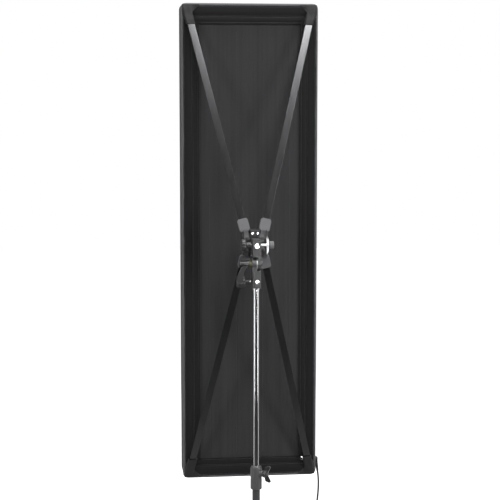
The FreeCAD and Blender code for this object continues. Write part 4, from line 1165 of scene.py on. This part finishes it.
class SOFTBOX_OT_head(Maker, bpy.types.Operator):
    """Build the tilt head, its pivot, lever, knobs and wing screw"""
    bl_idname = "softbox.head"
    bl_label = "Tilt head"

    def make(self):
        recast("tilt_head", edge=0.0011, segments=3)
        recast("stand_socket", edge=0.0011, segments=3)
        self.guard()
        self.pivot()
        recast("tilt_lever", "gloss_plastic", edge=0.0007, angle=50)
        self.knob("spigot_knob", SPIGOT_Z)
        self.knob("socket_knob", LOCK_Z)
        self.wing()

    def guard(self):
        """The guard screw with a hexagonal recess, on the rear face of the socket."""
        low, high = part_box("socket_guard_screw")
        spot = Vector(((low.x + high.x) / 2, high.y, (low.z + high.z) / 2))
        place = facing(spot, (0, -1, 0))
        tall = high.y - low.y
        screw = screw_head("guard_screw", place,
                           [(0.006, 0.0), (0.0065, 0.0005), (0.0065, tall - 0.0022),
                            (0.006, tall - 0.0012), (0.005, tall - 0.0004), (0.004, tall)],
                           [(0.003, tall), (0.0029, tall - 0.0003), (0.0029, tall - 0.0022)], 40)
        stand_in(screw, "chrome", "socket_guard_screw")

    def pivot(self):
        recast("tilt_bolt", "black_metal", edge=0.0008, segments=3)
        place, thick = on_bolt("tilt_washer", TILT_Z)
        ring = turned("friction_washer", place,
                      [(0.0042, 0.0), (0.0155, 0.0), (0.016, 0.0005), (0.016, thick - 0.0005),
                       (0.0155, thick), (0.0042, thick)], 56, ring=True)
        stand_in(ring, "ground_steel", "tilt_washer")
        place, long = on_bolt("lever_spacer", TILT_Z)
        profile = [(0.0042, 0.0), (0.0082, 0.0), (0.0088, 0.0006)]
        for k in range(3):
            at = 0.0012 + k * 0.002
            profile += [(0.009, at), (0.009, at + 0.001), (0.0083, at + 0.0013),
                        (0.0083, at + 0.0017)]
        profile += [(0.0088, long - 0.0004), (0.0082, long), (0.0042, long)]
        bush = turned("lever_bush", place, profile, 48, ring=True)
        stand_in(bush, "olive_nylon", "lever_spacer")

    def knob(self, node, height):
        """A lobed knob on its threaded screw."""
        low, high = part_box(node)
        place = facing((high.x, COLUMN_Y, height), (-1, 0, 0))
        long = high.x - low.x
        thick = 0.022 if node == "socket_knob" else 0.013
        neck, pitch = 0.012, 0.0012
        boss = long - thick - neck
        thread = [(0.0024, 0.0)]
        for k in range(int((boss - pitch) / pitch)):
            at = 0.0006 + k * pitch
            thread += [(0.003, at), (0.00262, at + pitch * 0.5)]
        screw = turned(node + "_screw", place, thread + [(0.0029, boss + 0.001)], 20)
        dress(screw, "chrome", BODY_OF[node])
        start = boss + neck
        grip = lobed(node + "_grip", place, [
            (0.0072, boss, 0), (0.008, boss + 0.0008, 0), (0.008, start - 0.001, 0),
            (0.0092, start, 0), (0.0128, start, 0.0012), (0.0145, start + 0.0006, 0.0022),
            (0.0154, start + 0.0018, 0.0026), (0.0155, start + 0.003, 0.0026),
            (0.0155, long - 0.0036, 0.0026), (0.015, long - 0.0018, 0.0024),
            (0.0138, long - 0.0006, 0.0018), (0.0118, long, 0.0008), (0.0088, long, 0),
            (0.0082, long - 0.0008, 0), (0.007, long - 0.001, 0), (0.0066, long - 0.0004, 0),
            (0.003, long - 0.0002, 0)], 6, 96)
        stand_in(grip, "black_plastic", node)

    def wing(self):
        wing = refined("spigot_wing_screw", "wing_screw_finished", 0.0013, 4)
        stand_in(wing, "ground_steel", "spigot_wing_screw")
        place, long = on_bolt("wing_screw_cap", SPIGOT_Z)
        rows = [(0.0034, 0.0, 0), (0.0088, 0.0, 0), (0.0097, 0.0006, 0.0003),
                (0.01, 0.0014, 0.0006), (0.01, long - 0.0026, 0.0006),
                (0.0095, long - 0.0012, 0.0005), (0.0082, long - 0.0003, 0.0002),
                (0.006, long, 0), (0.0056, long - 0.0006, 0), (0.002, long - 0.0006, 0)]
        cap = lobed("wing_cap", place, rows, 18, 108)
        stand_in(cap, "grey_plastic", "wing_screw_cap")


class SOFTBOX_OT_column(Maker, bpy.types.Operator):
    """Build the telescoping column with its clamp collars"""
    bl_idname = "softbox.column"
    bl_label = "Column"

    def make(self):
        self.tube("top_tube_section", "chrome", 0.007, settings("stand").wall)
        self.tube("middle_tube_section", "tube_coat", 0.01, 0.0012)
        self.tube("base_tube_section", "tube_coat", 0.0125, 0.0012)
        self.pin()
        self.collar("top_collar", 0.01, 0.007, -32)
        self.collar("base_collar", 0.0125, 0.01, -20)
        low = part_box("column_end_cap")[0]
        cap = turned("end_cap", on_column(low.z),
                     [(0.011, 0.0), (0.0136, 0.0), (0.0145, 0.001), (0.0145, 0.0074),
                      (0.014, 0.0088), (0.0143, 0.0094), (0.0138, 0.01), (0.0126, 0.01),
                      (0.0126, 0.0021), (0.011, 0.0021)], 48, ring=True)
        floor = turned("cap_floor", on_column(low.z),
                       [(0.0111, 0.0003), (0.0111, 0.0018)], 48)
        stand_in(joined("end_cap", [cap, floor]), "black_plastic", "column_end_cap")

    def tube(self, node, finish_name, radius, wall):
        """A drawn tube with a rolled upper lip and its guide ring at the foot."""
        low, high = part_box(node)
        guide, long, inner = high.x, high.z - low.z, radius - wall
        profile = [(inner, 0.0), (guide - 0.0006, 0.0)]
        if guide > radius + 0.0002:
            profile += [(guide, 0.0008), (guide, 0.0192), (guide - 0.0006, 0.02)]
        profile.append((radius, 0.0202))
        profile += [(radius, long * share) for share in (0.2, 0.4, 0.6, 0.8)]
        profile += [(radius, long - 0.0008), (radius - 0.0003, long - 0.0001),
                    (inner + 0.0002, long), (inner, long - 0.0004)]
        piece = turned(node.replace("_section", "_drawn"), on_column(low.z),
                       profile, 64, ring=True)
        stand_in(piece, finish_name, node)

    def pin(self):
        low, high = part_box("stand_pin")
        ring, lock, long = RING_Z - low.z, LOCK_Z - low.z, high.z - low.z
        profile = [(0.0052, 0.0), (0.006, 0.0008), (0.006, ring), (0.0084, ring),
                   (0.009, ring + 0.0006), (0.009, ring + 0.0034), (0.0084, ring + 0.004),
                   (0.008, ring + 0.004), (0.008, lock - 0.0056), (0.0065, lock - 0.0046),
                   (0.0065, lock + 0.0046), (0.008, lock + 0.0056), (0.008, long - 0.0015),
                   (0.0066, long), (0.0014, long), (0.0008, long - 0.0016)]
        pin = turned("stand_pin_turned", on_column(low.z), profile, 56)
        stand_in(pin, "chrome", "stand_pin")

    def collar(self, node, outer, inner, turn):
        """A moulded collar with flutes, a boss and its wing knob."""
        low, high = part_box(node)
        tall = high.z - low.z
        radius, gap, bore = outer + 0.005, 0.0001, 0.036
        place = on_column(low.z)
        rows = [(outer + gap, 0.0, 0), (radius - 0.0016, 0.0, 0),
                (radius - 0.0004, 0.0008, 0.0002), (radius, 0.0022, 0.0006),
                (radius, 0.026, 0.0009), (radius - 0.0004, 0.0285, 0),
                (radius - 0.0004, 0.0295, 0), (radius, 0.031, 0.0004),
                (radius, tall - 0.0062, 0.0004), (radius - 0.0003, tall - 0.0045, 0),
                (radius - 0.0012, tall - 0.0012, 0), (radius - 0.0026, tall, 0),
                (inner + gap, tall, 0), (inner + gap, tall - bore, 0),
                (outer + gap, tall - bore - 0.0002, 0)]
        body = lobed("collar_body", place, rows, 20, 120, ring=True)
        heading = Matrix.Rotation(math.radians(turn), 3, "Z") @ Vector((1, 0, 0))
        middle, sunk, out = high.z - bore / 2, 0.0015, 0.0085
        hole = facing(Vector((0, COLUMN_Y, middle)) + heading * (outer + sunk), heading)
        boss = turned("collar_boss", hole,
                      [(0.0094, 0.0), (0.0082, 0.003), (0.008, out - 0.001),
                       (0.0072, out), (0.0034, out), (0.0032, out - 0.003)], 40)
        seam = slab("collar_slot", (-0.0009, -0.002, 0.0), (0.0009, 0.0006, 0.024), 0.0004, 2)
        seam.data.transform(place @ Matrix.Rotation(math.radians(turn + 90), 4, "Z")
                            @ Matrix.Translation((radius, 0, tall - 0.026)))
        piece = joined(node + "_moulded", [body, boss, seam])
        stand_in(piece, "collar_plastic", node)
        self.wing_knob(node + "_knob", heading, middle, inner)

    def wing_knob(self, node, heading, middle, inner):
        """A hub with two curved wings and a bright screw."""
        place = facing(Vector((0, COLUMN_Y, middle)) + heading * inner, heading)
        boss = 0.0143
        screw = turned(node + "_screw", place, [(0.0024, 0.0003), (0.003, 0.0008),
                                               (0.003, boss + 0.001)], 24)
        dress(screw, "zinc_steel", BODY_OF[node])
        hub = lobed("knob_hub", place, [
            (0.0085, boss, 0), (0.0096, boss + 0.0006, 0), (0.01, boss + 0.0016, 0.0004),
            (0.01, boss + 0.0098, 0.0004), (0.0094, boss + 0.0112, 0),
            (0.0078, boss + 0.012, 0), (0.0052, boss + 0.012, 0), (0.0048, boss + 0.0112, 0),
            (0.0012, boss + 0.0112, 0)], 16, 96)
        spots = [(3, 4), (4, 11), (5.5, 18.0), (10, 20.6), (15, 21.8), (18.5, 21.7), (20.6, 20),
                 (20.2, 17.2), (17.6, 12.5), (15, 8), (12.5, 4)]
        out, away = (sum(values) / len(spots) for values in zip(*spots))
        wings = []
        for sign in (-1, 1):
            sections = []
            for share, thick in ((0.72, -0.0026), (0.93, -0.0024), (1.0, -0.0014), (1.0, 0.0014),
                                 (0.93, 0.0024), (0.72, 0.0026)):
                sections.append([place @ Vector((
                    -thick, sign * (away + (b - away) * share) / 1000,
                    boss + (out + (a - out) * share) / 1000)) for a, b in spots])
            wings.append(loft("wing", sections))
        knob = joined(node + "_moulded", [hub] + wings)
        knob.data.transform(self.upright(place, heading))
        stand_in(knob, "black_plastic", node)

    def upright(self, place, heading):
        """The turn about the knob's axis that stands its wings up."""
        wing = place.to_3x3() @ Vector((0, 1, 0))
        angle = wing.angle(Vector((0, 0, 1)))
        for sign in (1, -1):
            turn = Matrix.Rotation(sign * angle, 4, heading)
            if abs((turn.to_3x3() @ wing).z) > 0.999:
                break
        centre = Matrix.Translation(place.translation)
        return centre @ turn @ centre.inverted()


class SOFTBOX_OT_legs(Maker, bpy.types.Operator):
    """Build the legs with their feet, braces, casting and sliding ring"""
    bl_idname = "softbox.legs"
    bl_label = "Legs"

    def make(self):
        for name in LEGS:
            recast("leg_" + name, edge=0.0007)
            recast("foot_" + name, edge=0.0012, segments=3)
            recast("brace_" + name, edge=0.0008)
        recast("leg_casting", edge=0.0009)
        recast("sliding_ring", edge=0.0009)
        recast("leg_pins", edge=0.0009, segments=3)


class SOFTBOX_OT_stage(Maker, bpy.types.Operator):
    """Lay the pale floor and set the soft lights"""
    bl_idname = "softbox.stage"
    bl_label = "Stage and lights"

    def make(self):
        bpy.ops.object.select_all(action="DESELECT")
        bpy.ops.mesh.primitive_plane_add(size=26, location=(0, 0, 0))
        floor = bpy.context.object
        floor.name = "studio_floor"
        floor.data.materials.append(self.paper())
        self.lights()
        self.surroundings()
        bpy.context.scene.view_settings.view_transform = "Standard"

    def paper(self):
        """White paper: bright far away, where it glows, and painted dim in front only where the
        metal mirrors it, a painted shade in the reflections.
        """
        made = bpy.data.materials.new("studio_paper")
        made.use_nodes = True
        tree = made.node_tree
        surface = tree.nodes["Principled BSDF"]
        surface.inputs["Roughness"].default_value = 0.9
        surface.inputs["Specular IOR Level"].default_value = 0.1
        surface.inputs["Emission Strength"].default_value = 1.0
        place = add(tree, "TexCoord").outputs["Object"]
        away = add(tree, "VectorMath", {"operation": "LENGTH"}, i0=place).outputs["Value"]
        back = add(tree, "SeparateXYZ", i0=place).outputs[1]
        seen = add(tree, "LightPath").outputs["Is Camera Ray"]

        def ramp(value, start, end, low, high):
            return add(tree, "MapRange", {"interpolation_type": "SMOOTHSTEP"}, i0=value, i1=start,
                       i2=end, i3=low, i4=high).outputs[0]

        # For rays other than the camera's, the colour is a painted shade: dark in front, so the
        # metal mirrors a dim floor. To the eye it stays pale.
        for socket, unseen, direct in (
                ("Base Color", ramp(back, -2.2, 1.6, 0.22, 0.88), 0.85),
                ("Emission Color", ramp(back, 0.2, 2.3, 0.0, 1.0), ramp(away, 0.9, 3.0, 0.0, 1.0))):
            value = add(tree, "Mix", Factor=seen, i2=unseen, i3=direct).outputs[0]
            grey = add(tree, "CombineColor", i0=value, i1=value, i2=value).outputs[0]
            tree.links.new(grey, surface.inputs[socket])
        return made

    def surroundings(self):
        """White to the eye and dim as a light."""
        world = bpy.data.worlds.new("studio")
        world.use_nodes = True
        tree = world.node_tree
        seen = add(tree, "LightPath").outputs["Is Camera Ray"]
        power = add(tree, "MapRange", i0=seen, i3=0.07, i4=1.0).outputs[0]
        surface = tree.nodes["Background"]
        surface.inputs[0].default_value = (1, 1, 1, 1)
        tree.links.new(power, surface.inputs[1])
        bpy.context.scene.world = world

    def lights(self):
        power = settings("studio").power
        rows = [    # name, place, aim, width, height, power, spread
                ("left_bank", (-3.3, -2.3, 2.0), (0, COLUMN_Y, 1.5), 0.7, 1.9, 42, 90),
                ("right_bank", (3.2, -2.2, 2.0), (0, COLUMN_Y, 1.5), 0.7, 1.9, 46, 90),
                ("left_strip", (-1.91, -0.7, 1.05), (0, COLUMN_Y, 1.2), 0.25, 0.85, 14, 180),
                ("right_strip", (1.75, -1.1, 1.05), (0, COLUMN_Y, 1.2), 0.25, 0.85, 14, 180),
                ("high_key", (0.95, -3.0, 4.02), (0.1, REAR, 1.9), 2.2, 0.55, 85, 100),
                ("top_strip", (0.0, -0.1, 3.7), (0, COLUMN_Y, 1.4), 2.2, 0.4, 60, 100),
                ("front_panel", (0.36, -3.55, 1.1), (0, COLUMN_Y, 1.465), 0.22, 0.2, 2.2, 60),
                ("backdrop", (0, 4.6, 2.2), (0, 0, 1.6), 7.0, 4.0, 250, 180)]
        for name, spot, aim, wide, tall, watts, spread in rows:
            bpy.ops.object.select_all(action="DESELECT")
            bpy.ops.object.light_add(type="AREA", location=spot)
            light = bpy.context.object
            light.name = name
            light.data.shape = "RECTANGLE"
            light.data.size, light.data.size_y = wide, tall
            light.data.energy = watts * power
            light.data.spread = math.radians(spread)
            light.visible_camera = False
            away = Vector(aim) - Vector(spot)
            light.rotation_euler = away.to_track_quat("-Z", "Y").to_euler()


class SOFTBOX_PT_panel(bpy.types.Panel):
    """Buttons and settings of the softbox"""
    bl_label = "Strip softbox"
    bl_idname = "SOFTBOX_PT_panel"
    bl_space_type = "VIEW_3D"
    bl_region_type = "UI"
    bl_category = "Softbox"

    def draw(self, context):
        for operator in OPERATORS:
            self.layout.operator(operator.bl_idname)
        for name, group in GROUPS.items():
            box = self.layout.box()
            box.label(text=name.capitalize())
            for key in group.__annotations__:
                box.prop(getattr(context.scene, "softbox_" + name), key)


GROUPS = {"cloth": SOFTBOX_PG_cloth, "bracket": SOFTBOX_PG_bracket, "stand": SOFTBOX_PG_stand,
          "cord": SOFTBOX_PG_cord, "studio": SOFTBOX_PG_studio}
OPERATORS = (SOFTBOX_OT_camera, SOFTBOX_OT_cord, SOFTBOX_OT_walls, SOFTBOX_OT_mat,
             SOFTBOX_OT_diffuser, SOFTBOX_OT_pockets, SOFTBOX_OT_arms, SOFTBOX_OT_hub,
             SOFTBOX_OT_head, SOFTBOX_OT_column, SOFTBOX_OT_legs, SOFTBOX_OT_stage)


def register():
    for group in GROUPS.values():
        bpy.utils.register_class(group)
    for name, group in GROUPS.items():
        setattr(bpy.types.Scene, "softbox_" + name, bpy.props.PointerProperty(type=group))
    for operator in OPERATORS:
        bpy.utils.register_class(operator)
    bpy.utils.register_class(SOFTBOX_PT_panel)


def unregister():
    bpy.utils.unregister_class(SOFTBOX_PT_panel)
    for operator in reversed(OPERATORS):
        bpy.utils.unregister_class(operator)
    for name, group in reversed(GROUPS.items()):
        delattr(bpy.types.Scene, "softbox_" + name)
        bpy.utils.unregister_class(group)


def main():
    """Make every piece in order."""
    register()
    bpy.ops.softbox.camera()
    bpy.ops.softbox.cord()
    bpy.ops.softbox.walls()
    bpy.ops.softbox.mat()
    bpy.ops.softbox.diffuser()
    bpy.ops.softbox.pockets()
    bpy.ops.softbox.arms()
    bpy.ops.softbox.hub()
    bpy.ops.softbox.head()
    bpy.ops.softbox.column()
    bpy.ops.softbox.legs()
    bpy.ops.softbox.stage()


if __name__ == "__main__":
    main()
